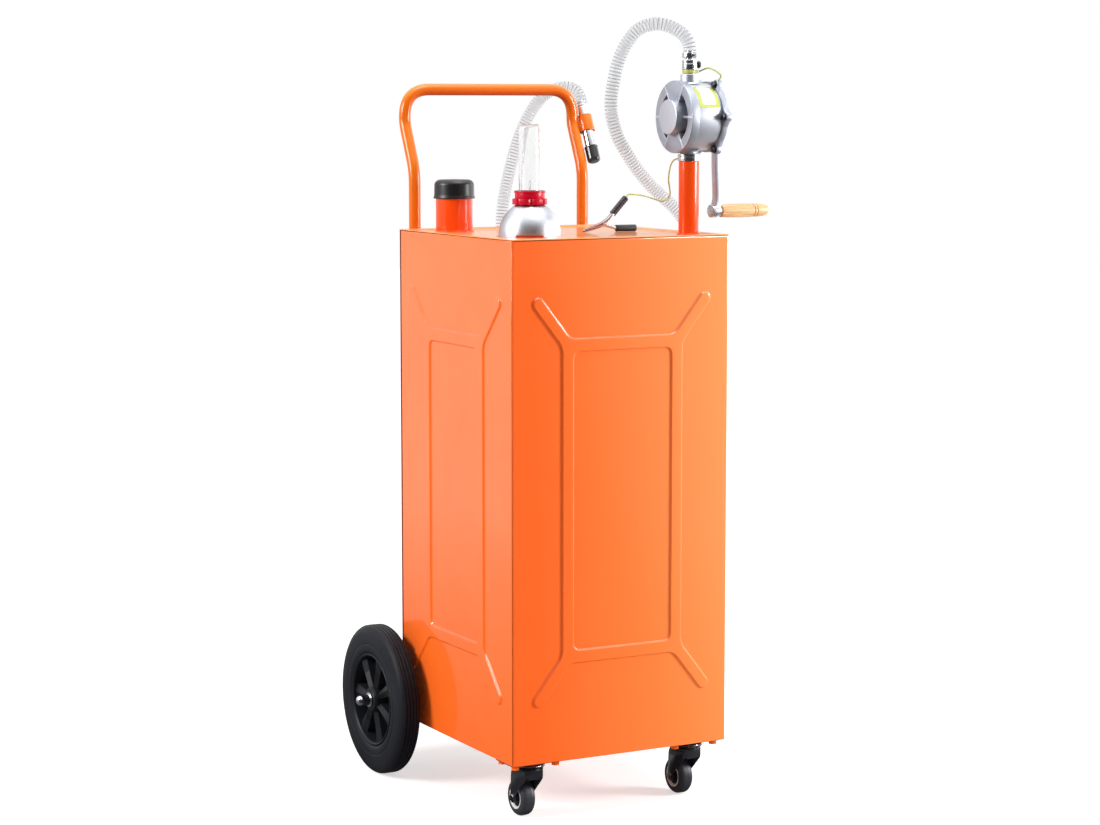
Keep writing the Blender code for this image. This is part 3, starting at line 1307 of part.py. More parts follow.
def build_axle(steel, paintwork, on):
    """The through axle, and the channel on the rear wall that carries it."""
    inner_face = WHEEL_FACE - WHEEL_WIDTH
    collar_start = CHANNEL_HALF + GAP
    half = [
        (AXLE_RADIUS, collar_start),
        (AXLE_COLLAR, collar_start),
        (AXLE_COLLAR, inner_face - GAP),
        (AXLE_RADIUS, inner_face - GAP),
        (AXLE_RADIUS, axle_tip()),
        (0, axle_tip()),
    ]
    profile = [(r, -x) for r, x in reversed(half)] + half
    at = (0, AXLE_Y, WHEEL_RADIUS)
    piece("rear_axle", turned(profile, SIDES_SMALL), steel, on, at, ALONG_X)
    near = REAR_WALL + GAP
    far = near + CHANNEL_DEPTH
    rise = CHANNEL_HEIGHT / 2
    outline = [
        (near, rise),
        (near, rise - CHANNEL_SHEET),
        (far - CHANNEL_SHEET, rise - CHANNEL_SHEET),
        (far - CHANNEL_SHEET, CHANNEL_SHEET - rise),
        (near, CHANNEL_SHEET - rise),
        (near, -rise),
        (far, -rise),
        (far, rise),
    ]
    spot = (0, 0, WHEEL_RADIUS)
    channel = slab(outline, 2 * CHANNEL_HALF, low=-CHANNEL_HALF)
    channel = piece("axle_channel", channel, paintwork, on, spot, STAND_ALONG_X)
    for side in (-1, 1):
        inner, outer = sorted((side * CHANNEL_HALF, side * (CHANNEL_HALF - CHANNEL_SHEET)))
        end = bar((inner, near, -rise + BITE), (outer, far - BITE, rise - BITE))
        join(channel, helper(f"channel_end_{side}", end, on, spot))
    hole = rod(AXLE_RADIUS + GAP, -CHANNEL_HALF - OVERRUN, CHANNEL_HALF + OVERRUN, SIDES_SMALL)
    cut(channel, helper("axle_hole", hole, on, at, ALONG_X))


def build_caster(side, name, steel, black, rubber, white, root, swivel_on, roll_on):
    """A swivel caster: top plate with its race, a trailing fork, and a wheel of tyre and hub."""
    at = (side * CASTER_X, CASTER_Y, 0)
    top = TANK_CLEARANCE - GAP
    under = top - PLATE_SHEET
    hole_radius = STUD_RADIUS + STUD_ROOM
    spots = [(x * BOLT_SPACING_X / 2, y * BOLT_SPACING_Y / 2) for x in (-1, 1) for y in (-1, 1)]
    holes = [circle(hole_radius, SIDES_TINY, spot) for spot in spots]
    outline = rounded(PLATE_X / 2, PLATE_Y / 2, PLATE_CORNER, 2)
    plate = piece(f"{name}_plate", slab(outline, PLATE_SHEET, holes, under), black, root, at)
    race_low = under - RACE_HEIGHT
    crown_low = race_low - GAP - CROWN_SHEET
    race = [
        (0, crown_low - GAP - PIN_HEAD_HEIGHT),
        (PIN_HEAD, crown_low - GAP - PIN_HEAD_HEIGHT),
        (PIN_HEAD, crown_low - GAP),
        (PIN_RADIUS, crown_low - GAP),
        (PIN_RADIUS, race_low),
        (RACE_RADIUS - RACE_HEIGHT / 3, race_low),
        (RACE_RADIUS, race_low + RACE_HEIGHT / 3),
        (RACE_RADIUS, under + BITE),
        (0, under + BITE),
    ]
    join(plate, helper(f"{name}_race", turned(race, SIDES_SMALL), root, at))

    crown = rod(CROWN_RADIUS, crown_low, race_low - GAP, SIDES_MEDIUM)
    fork = piece(f"{name}_fork", crown, black, swivel_on, at)
    axle_z = CASTER_RADIUS
    boss = [
        (CASTER_TRAIL + LEG_BOSS * math.cos(a), axle_z + LEG_BOSS * math.sin(a))
        for a in (math.radians(step) for step in (20, -25, -70, -115, -160, -205))
    ]
    front = -CROWN_RADIUS * 0.75
    rear = CROWN_RADIUS * 0.95
    top_edge = race_low - GAP
    leg = [(rear, top_edge), (front, top_edge), (front, crown_low - LEG_BOSS)]
    leg += [*reversed(boss), (rear + LEG_BOSS, crown_low - LEG_BOSS)]
    for cheek in (-1, 1):
        low = LEG_HALF_GAP if cheek > 0 else -LEG_HALF_GAP - LEG_SHEET
        shape = slab(leg, LEG_SHEET, low=low)
        join(fork, helper(f"{name}_leg_{cheek}", shape, swivel_on, at, STAND_ALONG_X))
    half = LEG_HALF_GAP + LEG_SHEET
    pin = [
        (0, -half - CASTER_AXLE_HEAD_HEIGHT),
        (CASTER_AXLE_HEAD, -half - CASTER_AXLE_HEAD_HEIGHT),
        (CASTER_AXLE_HEAD, -half + BITE),
        (CASTER_AXLE, -half + BITE),
        (CASTER_AXLE, half - BITE),
        (CASTER_AXLE_HEAD, half - BITE),
        (CASTER_AXLE_HEAD, half + CASTER_AXLE_HEAD_HEIGHT),
        (0, half + CASTER_AXLE_HEAD_HEIGHT),
    ]
    wheel_at = (side * CASTER_X, CASTER_Y + CASTER_TRAIL, axle_z)
    join(fork, helper(f"{name}_pin", turned(pin, SIDES_TINY), swivel_on, wheel_at, ALONG_X))
    king = rod(PIN_RADIUS + RUN, crown_low - OVERRUN, race_low, SIDES_SMALL)
    cut(fork, helper(f"{name}_king_hole", king, swivel_on, at))

    wide = CASTER_WIDTH / 2
    round_over = CASTER_WIDTH / 6
    inside = CASTER_HUB_RADIUS + GAP
    tyre = [
        (inside, -wide),
        (CASTER_RADIUS - round_over, -wide),
        (CASTER_RADIUS - round_over / 3, -wide + round_over / 2),
        (CASTER_RADIUS, -wide + 2 * round_over),
        (CASTER_RADIUS, wide - 2 * round_over),
        (CASTER_RADIUS - round_over / 3, wide - round_over / 2),
        (CASTER_RADIUS - round_over, wide),
        (inside, wide),
    ]
    piece(f"{name}_tyre", turned(tyre, SIDES_MEDIUM, closed=True), rubber, roll_on, wheel_at, ALONG_X)
    bore = CASTER_AXLE + 2 * RUN
    web = CASTER_HUB_RADIUS - round_over / 2
    deep = wide - round_over
    hub_half = LEG_HALF_GAP - GAP
    hub = [
        (bore, -hub_half),
        (CASTER_BOSS, -hub_half),
        (CASTER_BOSS, -deep),
        (web, -deep),
        (web, -wide),
        (CASTER_HUB_RADIUS, -wide),
    ]
    hub += [(r, -x) for r, x in reversed(hub)]
    piece(f"{name}_hub", turned(hub, SIDES_MEDIUM, closed=True), white, roll_on, wheel_at, ALONG_X)


def build_clamp(steel, rubber, wire, on, jaw_on):
    """The sprung ground clamp that lies on the tank's top, and its wire to the pump's union."""
    pivot = Vector((CLAMP_X, CLAMP_Y, DECK + CLAMP_PIVOT_RISE))
    floor = DECK + GAP - pivot.z
    low_line = DECK + GAP + SLEEVE_RADIUS - pivot.z
    thick = CLAMP_SHEET
    inner = CLAMP_HALF - CLAMP_CHEEK - GAP
    lower = [
        (-CLAMP_TIP, floor),
        (CLAMP_SLEEVE_START + thick, floor + thick),
        (CLAMP_SLEEVE_START + thick, low_line + thick / 2),
        (CLAMP_PIN + thick, CLAMP_PIN + thick),
        (-CLAMP_PIN - thick, CLAMP_PIN + thick / 2),
        (-CLAMP_TIP, floor + thick),
    ]
    body = piece("clamp_lower", slab(lower, 2 * inner, low=-inner), steel, on, pivot, UPRIGHT)
    tang = rod(TANG_RADIUS, CLAMP_SLEEVE_START, CLAMP_SLEEVE_END - thick, SIDES_TINY)
    tang_at = pivot + Vector((0, 0, low_line))
    join(body, helper("lower_tang", tang, on, tang_at, ALONG_X))
    pin = rod(CLAMP_PIN, -CLAMP_HALF - BITE, CLAMP_HALF + BITE, SIDES_TINY)
    join(body, helper("clamp_pin", pin, on, pivot, ALONG_Y))
    sleeve = [
        (TANG_RADIUS + GAP, CLAMP_SLEEVE_START + 2 * thick),
        (SLEEVE_RADIUS - BITE, CLAMP_SLEEVE_START + 2 * thick),
        (SLEEVE_RADIUS, CLAMP_SLEEVE_START + 3 * thick),
        (SLEEVE_RADIUS, CLAMP_SLEEVE_END - BITE),
        (SLEEVE_RADIUS - BITE, CLAMP_SLEEVE_END),
        (TANG_RADIUS + GAP, CLAMP_SLEEVE_END),
    ]
    piece("clamp_lower_sleeve", turned(sleeve, SIDES_SMALL, closed=True), rubber, on, tang_at, ALONG_X)

    jaw_gap = floor + thick + 4 * GAP
    slope = -jaw_gap / CLAMP_TIP
    over = 2 * thick
    root_x = CLAMP_SLEEVE_START * math.cos(CLAMP_SPREAD)
    root_z = CLAMP_SLEEVE_START * math.sin(CLAMP_SPREAD)
    upper = [
        (-CLAMP_TIP, jaw_gap),
        (-CLAMP_PIN - over, -thick),
        (CLAMP_PIN, -thick),
        (root_x + thick, root_z - thick),
        (root_x - thick, root_z + thick),
        (-CLAMP_PIN, CLAMP_PIN + over + thick),
        (-CLAMP_TIP, jaw_gap + thick + slope * GAP),
    ]
    shape = slab(upper, 2 * CLAMP_HALF, low=-CLAMP_HALF)
    jaw = piece("clamp_upper", shape, steel, jaw_on, pivot, UPRIGHT)
    slot_half = inner + GAP
    slot = [
        (-CLAMP_TIP + over, -CLAMP_TIP),
        (root_x - thick, -CLAMP_TIP),
        (root_x - thick, root_z - over),
        (root_x - over, root_z - thick),
        (-CLAMP_PIN, CLAMP_PIN + over),
        (-CLAMP_TIP + over, jaw_gap + thick),
    ]
    slot = slab(slot, 2 * slot_half, low=-slot_half)
    cut(jaw, helper("clamp_slot", slot, jaw_on, pivot, UPRIGHT))
    raised = Matrix.Rotation(-CLAMP_SPREAD, 4, "Y") @ ALONG_X
    tang = rod(TANG_RADIUS, CLAMP_SLEEVE_START - thick, CLAMP_SLEEVE_END - thick, SIDES_TINY)
    join(jaw, helper("upper_tang", tang, jaw_on, pivot, raised))
    hole = rod(CLAMP_PIN + RUN, -CLAMP_HALF - OVERRUN, CLAMP_HALF + OVERRUN, SIDES_TINY)
    cut(jaw, helper("clamp_pin_hole", hole, jaw_on, pivot, ALONG_Y))
    piece("clamp_upper_sleeve", turned(sleeve, SIDES_SMALL, closed=True), rubber, jaw_on, pivot, raised)

    along = Vector((math.cos(CLAMP_SPREAD), 0, math.sin(CLAMP_SPREAD)))
    start = pivot + along * (CLAMP_SLEEVE_END + GAP)
    route = [start, start + along * BARB_RADIUS, *placed(WIRE_FROM_POST, POST_TOP_AT)]
    path, length = smooth_route(route, 26)
    piece("ground_wire", tube("ground", path, WIRE_RADIUS, 1), wire, on)
    print(f"ground wire length {length:.3f}")


def build():
    clear_scene()
    orange = paint("orange_powder_coat", (0.90, 0.17, 0.035), 0.35)
    cast = paint("cast_aluminium", (0.62, 0.63, 0.66), 0.38, 0.9)
    steel = paint("bright_steel", (0.70, 0.71, 0.73), 0.22, 1.0)
    chrome = paint("chrome_plate", (0.80, 0.80, 0.82), 0.10, 1.0)
    black = paint("black_plastic", (0.02, 0.02, 0.022), 0.45)
    rubber = paint("black_rubber", (0.025, 0.025, 0.027), 0.75)
    red = paint("red_plastic", (0.72, 0.02, 0.07), 0.30)
    clear = paint("clear_plastic", (0.90, 0.92, 0.94), 0.10, 0.0, 0.35)
    wood = paint("pale_wood", (0.80, 0.60, 0.36), 0.55)
    white = paint("white_plastic", (0.80, 0.80, 0.80), 0.40)
    wire = paint("earth_wire", (0.62, 0.66, 0.20), 0.45)

    caddy = carrier("caddy")
    axis = (POST_X, POST_Y, PUMP_Z)
    crank = carrier("crank_turn", axis, caddy)
    grip = carrier("grip_turn", (POST_X, POST_Y, PUMP_Z - CRANK_REACH), crank)
    filler = (FILLER_X, FILLER_Y, TANK_TOP)
    gasket = carrier("cap_lift", filler, caddy)
    cap = carrier("cap_turn", filler, gasket)
    floating = carrier("float_lift", (GAUGE_X, GAUGE_Y, TANK_TOP), caddy)
    knob = carrier("knob_turn", (POST_X, POST_Y, TANK_TOP + KNOB_RISE), caddy)
    dust_cap = carrier("dust_cap_pull", CLIP_AT, caddy)
    jaw = carrier("clamp_open", (CLAMP_X, CLAMP_Y, DECK + CLAMP_PIVOT_RISE), caddy)

    build_tank(orange, caddy)
    build_filler(orange, black, rubber, caddy, gasket, cap)
    build_gauge(chrome, red, clear, steel, white, caddy, floating)
    build_standpipe(orange, steel, white, caddy)
    build_pump(cast, steel, caddy)
    build_rotor(steel, black, crank)
    build_crank(cast, steel, wood, crank, grip)
    build_outlet(steel, black, wire, caddy, knob)
    build_hose(clear, caddy)
    build_nozzle(chrome, rubber, orange, caddy, dust_cap)
    build_handle(orange, caddy)
    build_axle(steel, orange, caddy)
    build_clamp(steel, rubber, wire, caddy, jaw)
    for side, name in ((-1, "left"), (1, "right")):
        hub_at = (side * (WHEEL_FACE - WHEEL_WIDTH / 2), AXLE_Y, WHEEL_RADIUS)
        wheel = carrier(f"{name}_wheel_turn", hub_at, caddy)
        build_rear_wheel(side, f"{name}_wheel", rubber, black, chrome, wheel, caddy)
        swivel = carrier(f"{name}_caster_swivel", (side * CASTER_X, CASTER_Y, 0), caddy)
        roll_at = (side * CASTER_X, CASTER_Y + CASTER_TRAIL, CASTER_RADIUS)
        roll = carrier(f"{name}_caster_roll", roll_at, swivel)
        build_caster(side, f"{name}_caster", steel, black, rubber, white, caddy, swivel, roll)


build()
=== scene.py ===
"""Looks of the wheeled fuel caddy.

Places are given from the middle of the tank, as its maker measures them, and MIDDLE carries them into
the row frame: metres, +Z up, the floor at Z = 0, the front of the tank facing -Y.
"""

import math

import bmesh
import bpy
from mathutils import Matrix, Vector


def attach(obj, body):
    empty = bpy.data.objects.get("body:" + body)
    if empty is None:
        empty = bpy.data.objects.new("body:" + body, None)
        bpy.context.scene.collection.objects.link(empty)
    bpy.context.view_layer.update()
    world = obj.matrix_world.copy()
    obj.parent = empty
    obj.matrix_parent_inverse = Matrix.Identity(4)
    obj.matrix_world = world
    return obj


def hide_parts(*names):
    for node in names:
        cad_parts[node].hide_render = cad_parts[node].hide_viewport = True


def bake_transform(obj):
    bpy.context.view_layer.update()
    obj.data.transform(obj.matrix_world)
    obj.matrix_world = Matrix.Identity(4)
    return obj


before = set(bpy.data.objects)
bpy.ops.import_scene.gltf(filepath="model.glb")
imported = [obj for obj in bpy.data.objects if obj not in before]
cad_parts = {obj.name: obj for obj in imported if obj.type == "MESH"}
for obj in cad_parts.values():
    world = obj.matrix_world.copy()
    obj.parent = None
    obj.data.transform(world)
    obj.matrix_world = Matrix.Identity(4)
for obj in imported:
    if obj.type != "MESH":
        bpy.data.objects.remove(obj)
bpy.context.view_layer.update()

MIDDLE = Vector((0.0138, 0.062, 0))
PHOTO_WIDTH = 1100
PHOTO_FOCUS = 2615.54
FILM_WIDTH = 36
CAMERA_AT = (-2.06212, -3.83765, 1.13114)
CAMERA_TURN = (math.radians(83.3232), 0, math.radians(-28.2486))

# Fits
GAP = 0.0003
RUN = 0.0006

# Tank
TANK_WIDTH = 0.391
TANK_DEPTH = 0.411
TANK_HEIGHT = 0.830
TANK_FOOT = 0.0975
TANK_TOP = TANK_FOOT + TANK_HEIGHT
SHEET = 0.0015
SEAM = 0.0030
TOP_SEAM = 0.0009
RIM_WIDTH = 0.014
RECESS = 0.0025
DECK = TANK_TOP - RECESS
RIGHT_WALL = TANK_WIDTH / 2
REAR_WALL = TANK_DEPTH / 2
BAND_WIDTH = 0.024
BAND_RISE = 0.003
BAND_SLOPE = 0.0038
BAND_CORNER = 0.011
BAND_HALF_HEIGHT = 0.2358
ARM_WIDTH = 0.023
ARM_RISE = 0.3135
ARM_FILLET = 0.009

# Fittings on the tank's top
FILLER = Vector((-0.130, 0.130, TANK_TOP))
NECK_RADIUS = 0.0305
NECK_BORE = 0.0275
NECK_HEIGHT = 0.0740
CAP_INSIDE = 0.0315
CAP_OUTSIDE = 0.0335
CAP_SKIRT = 0.0520
CAP_TOP = 0.0840
CAP_CEILING = 0.0762
GAUGE = Vector((-0.095, -0.072, TANK_TOP))
DOME_RADIUS = 0.050
DOME_WALL = 0.0012
GAUGE_HOLE = 0.036
NUT_BOTTOM = 0.0480
NUT_STEP = 0.0575
NUT_TOP = 0.0700
WINDOW_RADIUS = 0.0178
WINDOW_TOP = 0.1750
WINDOW_BOTTOM = 0.0360
WINDOW_WALL = 0.0018

# Pump on its post
POST = Vector((0.151, -0.155, TANK_TOP))
POST_RADIUS = 0.0165
POST_BORE = 0.0137
POST_TOP = 0.1160
UNION_RADIUS = 0.0183
UNION_TOP = 0.1270
PUMP = POST + Vector((0, 0, 0.1867))
BODY_RADIUS = 0.054
BODY_LEFT = -0.0145
BODY_RIGHT = 0.0293
OUTLET_TOP = 0.0683
COVER_RADIUS = 0.058
COVER_LEFT = -0.0286
COVER_BOSS = 0.028
COVER_BOSS_LEFT = -0.0405
POCKET_DEPTH = 0.0095
FLANGE_LEFT = 0.0296
FLANGE_RIGHT = 0.0396
BEARING_RIGHT = 0.0460
EAR_COUNT = 6
EAR_CIRCLE = 0.060
EAR_RADIUS = 0.0075
SHAFT_RADIUS = 0.006
SHAFT_RIGHT = 0.064
CRANK_REACH = 0.1517
EYE = PUMP - Vector((0, 0, CRANK_REACH))
GRIP_LEFT = 0.0594
GRIP_RIGHT = 0.1521
GRIP_RADIUS = 0.0112
SPINDLE_END = 0.1350

# Hose, its fitting and its nozzle
RING_BOTTOM = 0.2560
RING_TOP = 0.2621
RING_OUTER = 0.0118
FITTING_RADIUS = 0.0123
FITTING_TOP = 0.2772
KNOB = POST + Vector((0, 0, 0.2700))
KNOB_RADIUS = 0.0058
HOSE_RADIUS = 0.0110
HOSE_BORE = 0.0080
HOSE_PITCH = 0.0056
HANDLE_Y = REAR_WALL + 0.012
CLIP_AT = Vector((0.1835, HANDLE_Y + 0.028, TANK_TOP + 0.173))
NOZZLE_TURN = Matrix.Rotation(-math.atan2(0.0373, 0.080), 4, "X")
NOZZLE_UP_AXIS = NOZZLE_TURN.to_3x3() @ Vector((0, 0, 1))
NOZZLE_RADIUS = 0.0100
NOZZLE_BORE = 0.0065
NOZZLE_UP = 0.0350
NOZZLE_DOWN = 0.0560
NOZZLE_BARB = 0.0080
BARB_RADIUS = 0.0066
CLIP_HEIGHT = 0.030
CLIP_WALL = 0.0028
DUST_CAP_RADIUS = 0.0116
DUST_CAP_TOP = 0.0437
DUST_CAP_LENGTH = 0.0285

# Handle
TUBE_RADIUS = 0.010
HANDLE_HALF = 0.161
HANDLE_LEAN = 0.0373
HANDLE_HEIGHTS = (TANK_TOP - 0.230, TANK_TOP + 0.095, TANK_TOP + 0.175, TANK_TOP + 0.232)
HANDLE_CORNER = 0.046
HANDLE_EASE = 0.020
STRAP_BOTTOM = TANK_TOP - 0.205
STRAP_TOP = TANK_TOP - 0.030

# Rear wheels
AXLE_Y = REAR_WALL + 0.014
AXLE_RADIUS = 0.0075
WHEEL_RADIUS = 0.127
WHEEL_HALF = 0.020
WHEEL_FACE = 0.2505
RIM_RADIUS = 0.079
SPOKE_COUNT = 7
AXLE_END = 0.2755

# Casters
CASTER_X = 0.147
CASTER_Y = -0.1655
CASTER_TRAIL = 0.0255
CASTER_RADIUS = 0.030
PLATE_LOW = TANK_FOOT - GAP - 0.0025
RACE_LOW = PLATE_LOW - 0.011
CROWN_SHEET = 0.0028
CROWN_LOW = RACE_LOW - GAP - CROWN_SHEET
LEG_GAP = 0.0145
LEG_SHEET = 0.0022

# Ground clamp
CLAMP = Vector((0.076, -0.010, DECK + 0.013))
CLAMP_SPREAD = math.radians(46)
SLEEVE_RADIUS = 0.0056
TANG_RADIUS = 0.0024
WIRE_RADIUS = 0.00125

ALONG_X = Matrix.Rotation(math.radians(90), 4, "Y")
ALONG_Y = Matrix.Rotation(math.radians(-90), 4, "X")
UPRIGHT = Matrix.Rotation(math.radians(90), 4, "X")
STAND_ALONG_X = Matrix(((0, 0, 1, 0), (1, 0, 0, 0), (0, 1, 0, 0), (0, 0, 0, 1)))
FINE = 96
ROUND = 64
SMALL = 32

# The hose's route, as in the part: up out of the pump, over in a loop to the left, down past the right
# wall, round the rear corner in a deep bight, up behind the handle and into the nozzle
HOSE_ROUTE = (
    (0.1510, -0.1550, 1.2050),
    (0.1510, -0.1550, 1.2130),
    (0.1510, -0.1550, 1.2260),
    (0.1440, -0.1490, 1.2440),
    (0.1280, -0.1330, 1.2580),
    (0.1080, -0.1181, 1.2624),
    (0.0900, -0.0900, 1.2518),
    (0.0730, -0.0690, 1.2136),
    (0.0640, -0.0580, 1.1600),
    (0.0640, -0.0545, 1.1220),
    (0.0760, -0.0520, 1.0850),
    (0.0920, -0.0500, 1.0603),
    (0.1180, -0.0430, 1.0305),
    (0.1480, -0.0370, 1.0021),
    (0.1780, -0.0315, 0.9801),
    (0.2060, -0.0280, 0.9580),
    (0.2260, -0.0250, 0.9320),
    (0.2370, -0.0180, 0.8950),
    (0.2400, 0.0050, 0.8200),
    (0.2390, 0.0480, 0.7000),
    (0.2380, 0.1050, 0.5700),
    (0.2360, 0.1650, 0.4550),
    (0.2240, 0.2280, 0.3600),
    (0.1920, 0.2720, 0.2750),
    (0.1500, 0.2880, 0.2380),
    (0.1080, 0.2900, 0.2450),
    (0.0740, 0.2880, 0.3100),
    (0.0520, 0.2840, 0.4200),
    (0.0340, 0.2740, 0.6500),
    (0.0270, 0.2680, 0.8000),
    (0.0280, 0.2660, 0.9300),
    (0.0372, 0.2690, 0.9870),
    (0.0605, 0.2780, 1.0557),
    (0.0873, 0.2860, 1.1074),
    (0.1180, 0.2910, 1.1450),
    (0.1450, 0.2920, 1.1600),
    (0.1660, 0.2880, 1.1640),
    (0.1795, 0.2770, 1.1595),
)
HOSE_STEPS = 161
HOSE_LENGTH = 2.406

# The ground wire's route from the clamp's raised handle to the pump's union, as in the part
WIRE_ROUTE = (
    (0.1310, -0.0350, 0.9855),
    (0.1340, -0.0650, 0.9817),
    (0.1370, -0.0950, 0.9777),
    (0.1396, -0.1150, 0.9880),
    (0.1290, -0.1280, 1.0150),
    (0.1290, -0.1370, 1.0400),
    (0.1369, -0.1424, 1.0480),
)


def row(point):
    """A place in the row frame."""
    return Vector(point) - MIDDLE


def tone(red, green, blue):
    """A shade read off a 0 to 255 colour card."""
    shares = [value / 255 for value in (red, green, blue)]
    return [s / 12.92 if s <= 0.04045 else ((s + 0.055) / 1.055) ** 2.4 for s in shares]


# Shapes


def signed_area(points):
    pairs = zip(points, points[1:] + points[:1])
    return sum(a[0] * b[1] - b[0] * a[1] for a, b in pairs) / 2


def counter(points):
    """The outline, running anticlockwise."""
    points = [tuple(p) for p in points]
    return points if signed_area(points) > 0 else points[::-1]


def circle(radius, sides, middle=(0, 0), start=0.0):
    steps = [start + 2 * math.pi * k / sides for k in range(sides)]
    return [(middle[0] + radius * math.cos(a), middle[1] + radius * math.sin(a)) for a in steps]


def eased(points, reach, closed=False, steps=4, most=0.48):
    """A line with its corners rounded off, each by no more than a share of the sides beside it."""
    out = []
    last = len(points) - 1
    reaches = reach if isinstance(reach, (list, tuple)) else [reach] * len(points)
    for k, point in enumerate(points):
        here = Vector(point)
        if not closed and k in (0, last):
            out.append(tuple(here))
            continue
        before = Vector(points[k - 1]) - here
        after = Vector(points[(k + 1) % len(points)]) - here
        cut = min(reaches[k], before.length * most, after.length * most)
        if cut <= 0 or before.normalized().dot(after.normalized()) < -0.995:
            out.append(tuple(here))
            continue
        start = here + before.normalized() * cut
        end = here + after.normalized() * cut
        for j in range(steps + 1):
            t = j / steps
            out.append(tuple(start.lerp(here, t).lerp(here.lerp(end, t), t)))
    return out


def inset(points, amount):
    """A closed anticlockwise outline moved inwards."""
    moved_points = []
    for k, point in enumerate(points):
        here = Vector(point)
        before = (here - Vector(points[k - 1])).normalized()
        after = (Vector(points[(k + 1) % len(points)]) - here).normalized()
        first = Vector((-before.y, before.x))
        second = Vector((-after.y, after.x))
        share = max(1 + first.dot(second), 0.4)
        moved_points.append(tuple(here + (first + second) * (amount / share)))
    return moved_points


def box_outline(half_x, half_y, corner, steps=6):
    sharp = [(half_x, -half_y), (half_x, half_y), (-half_x, half_y), (-half_x, -half_y)]
    return eased(sharp, corner, closed=True, steps=steps)


def loop(bm, points, height=0.0):
    """A closed ring of edges at one height."""
    verts = [bm.verts.new((x, y, height)) for x, y in points]
    for a, b in zip(verts, verts[1:] + verts[:1]):
        bm.edges.new((a, b))
    return verts


def fill(bm, *rings):
    """Faces between an outline and the holes in it."""
    edges = set()
    for verts in rings:
        for a, b in zip(verts, verts[1:] + verts[:1]):
            edges.add(bm.edges.get((a, b)))
    return bmesh.ops.triangle_fill(bm, use_beauty=True, edges=list(edges), normal=(0, 0, 1))


def skirt(bm, low, high):
    """Faces between two rings with as many points."""
    made = []
    for k, a in enumerate(low):
        after = (k + 1) % len(low)
        made.append(bm.faces.new((a, low[after], high[after], high[k])))
    return made


def slab(outline, depth, holes=(), low=0.0, ease=0.0005):
    """A flat outline with its holes, extruded up Z, with its edges rounded off."""
    bm = bmesh.new()
    steps = [(ease, 0), (ease * 0.3, ease * 0.3), (0, ease)]
    steps += [(cut, depth - rise) for cut, rise in reversed(steps)]
    bottoms = []
    tops = []
    for line, inward in [(outline, 1), *[(hole, -1) for hole in holes]]:
        line = counter(line)
        rings = [loop(bm, inset(line, inward * cut), low + rise) for cut, rise in steps]
        for a, b in zip(rings, rings[1:]):
            skirt(bm, a, b)
        bottoms.append(rings[0])
        tops.append(rings[-1])
    fill(bm, *bottoms)
    fill(bm, *tops)
    return bm


def turned(profile, sides=ROUND, closed=False):
    """A solid of revolution about Z, from radii and heights."""
    bm = bmesh.new()
    verts = [bm.verts.new((radius, 0, height)) for radius, height in profile]
    pairs = list(zip(verts, verts[1:]))
    if closed:
        pairs.append((verts[-1], verts[0]))
    edges = [bm.edges.new(pair) for pair in pairs]
    spin = {"cent": (0, 0, 0), "axis": (0, 0, 1), "angle": 2 * math.pi, "steps": sides}
    bmesh.ops.spin(bm, geom=verts + edges, use_merge=True, **spin)
    bmesh.ops.remove_doubles(bm, verts=bm.verts[:], dist=0.000001)
    return bm


def rod(radius, low, high, sides=SMALL, ease=0.0005):
    return turned(eased([(0, low), (radius, low), (radius, high), (0, high)], ease), sides)


def pipe(inner, outer, low, high, sides=ROUND, ease=0.0005):
    square = [(inner, low), (outer, low), (outer, high), (inner, high)]
    return turned(eased(square, ease, closed=True), sides, closed=True)


def hoop(radius, thick, height=0.0, sides=ROUND):
    """A round ring about Z, such as a weld bead."""
    return turned(circle(thick, 12, (radius, height)), sides, closed=True)


def bar(low, high, ease=0.0005):
    """A block between two corners."""
    (x0, y0, z0), (x1, y1, z1) = low, high
    return slab([(x0, y0), (x1, y0), (x1, y1), (x0, y1)], z1 - z0, low=z0, ease=ease)


def smooth_route(points, count):
    """Evenly spaced points on a smooth curve through the given ones."""
    points = [Vector(p) for p in points]
    points = [2 * points[0] - points[1], *points, 2 * points[-1] - points[-2]]
    fine = []
    share_steps = 24
    for p0, p1, p2, p3 in zip(points, points[1:], points[2:], points[3:]):
        for k in range(share_steps):
            t = k / share_steps
            curved = p1 * 2 + (p2 - p0) * t + (p0 * 2 - p1 * 5 + p2 * 4 - p3) * t**2
            fine.append((curved + (p1 * 3 - p0 - p2 * 3 + p3) * t**3) / 2)
    fine.append(points[-2])
    run = [0.0]
    for a, b in zip(fine, fine[1:]):
        run.append(run[-1] + (b - a).length)
    spaced = []
    at = 0
    for k in range(count):
        goal = run[-1] * k / (count - 1)
        while at < len(run) - 2 and run[at + 1] < goal:
            at += 1
        part = (goal - run[at]) / (run[at + 1] - run[at])
        spaced.append(fine[at].lerp(fine[at + 1], min(part, 1.0)))
    return spaced


def sweep_rings(bm, points, radii, sides):
    """Rings along a line, carried without twist."""
    rings = []
    side = None
    last = len(points) - 1
    for k, at in enumerate(points):
        along = (points[min(k + 1, last)] - points[max(k - 1, 0)]).normalized()
        side = along.orthogonal() if side is None else side - along * side.dot(along)
        side = side.normalized()
        up = along.cross(side)
        turns = [2 * math.pi * j / sides for j in range(sides)]
        rings.append([bm.verts.new(at + (side * math.cos(a) + up * math.sin(a)) * radii[k]) for a in turns])
    return rings


def sweep(points, radius, sides=SMALL, shares=None):
    """A round bar along a line, closed at both ends."""
    bm = bmesh.new()
    shares = shares or [1.0] * len(points)
    rings = sweep_rings(bm, points, [radius * share for share in shares], sides)
    for a, b in zip(rings, rings[1:]):
        skirt(bm, a, b)
    bm.faces.new(rings[0])
    bm.faces.new(rings[-1])
    return bm


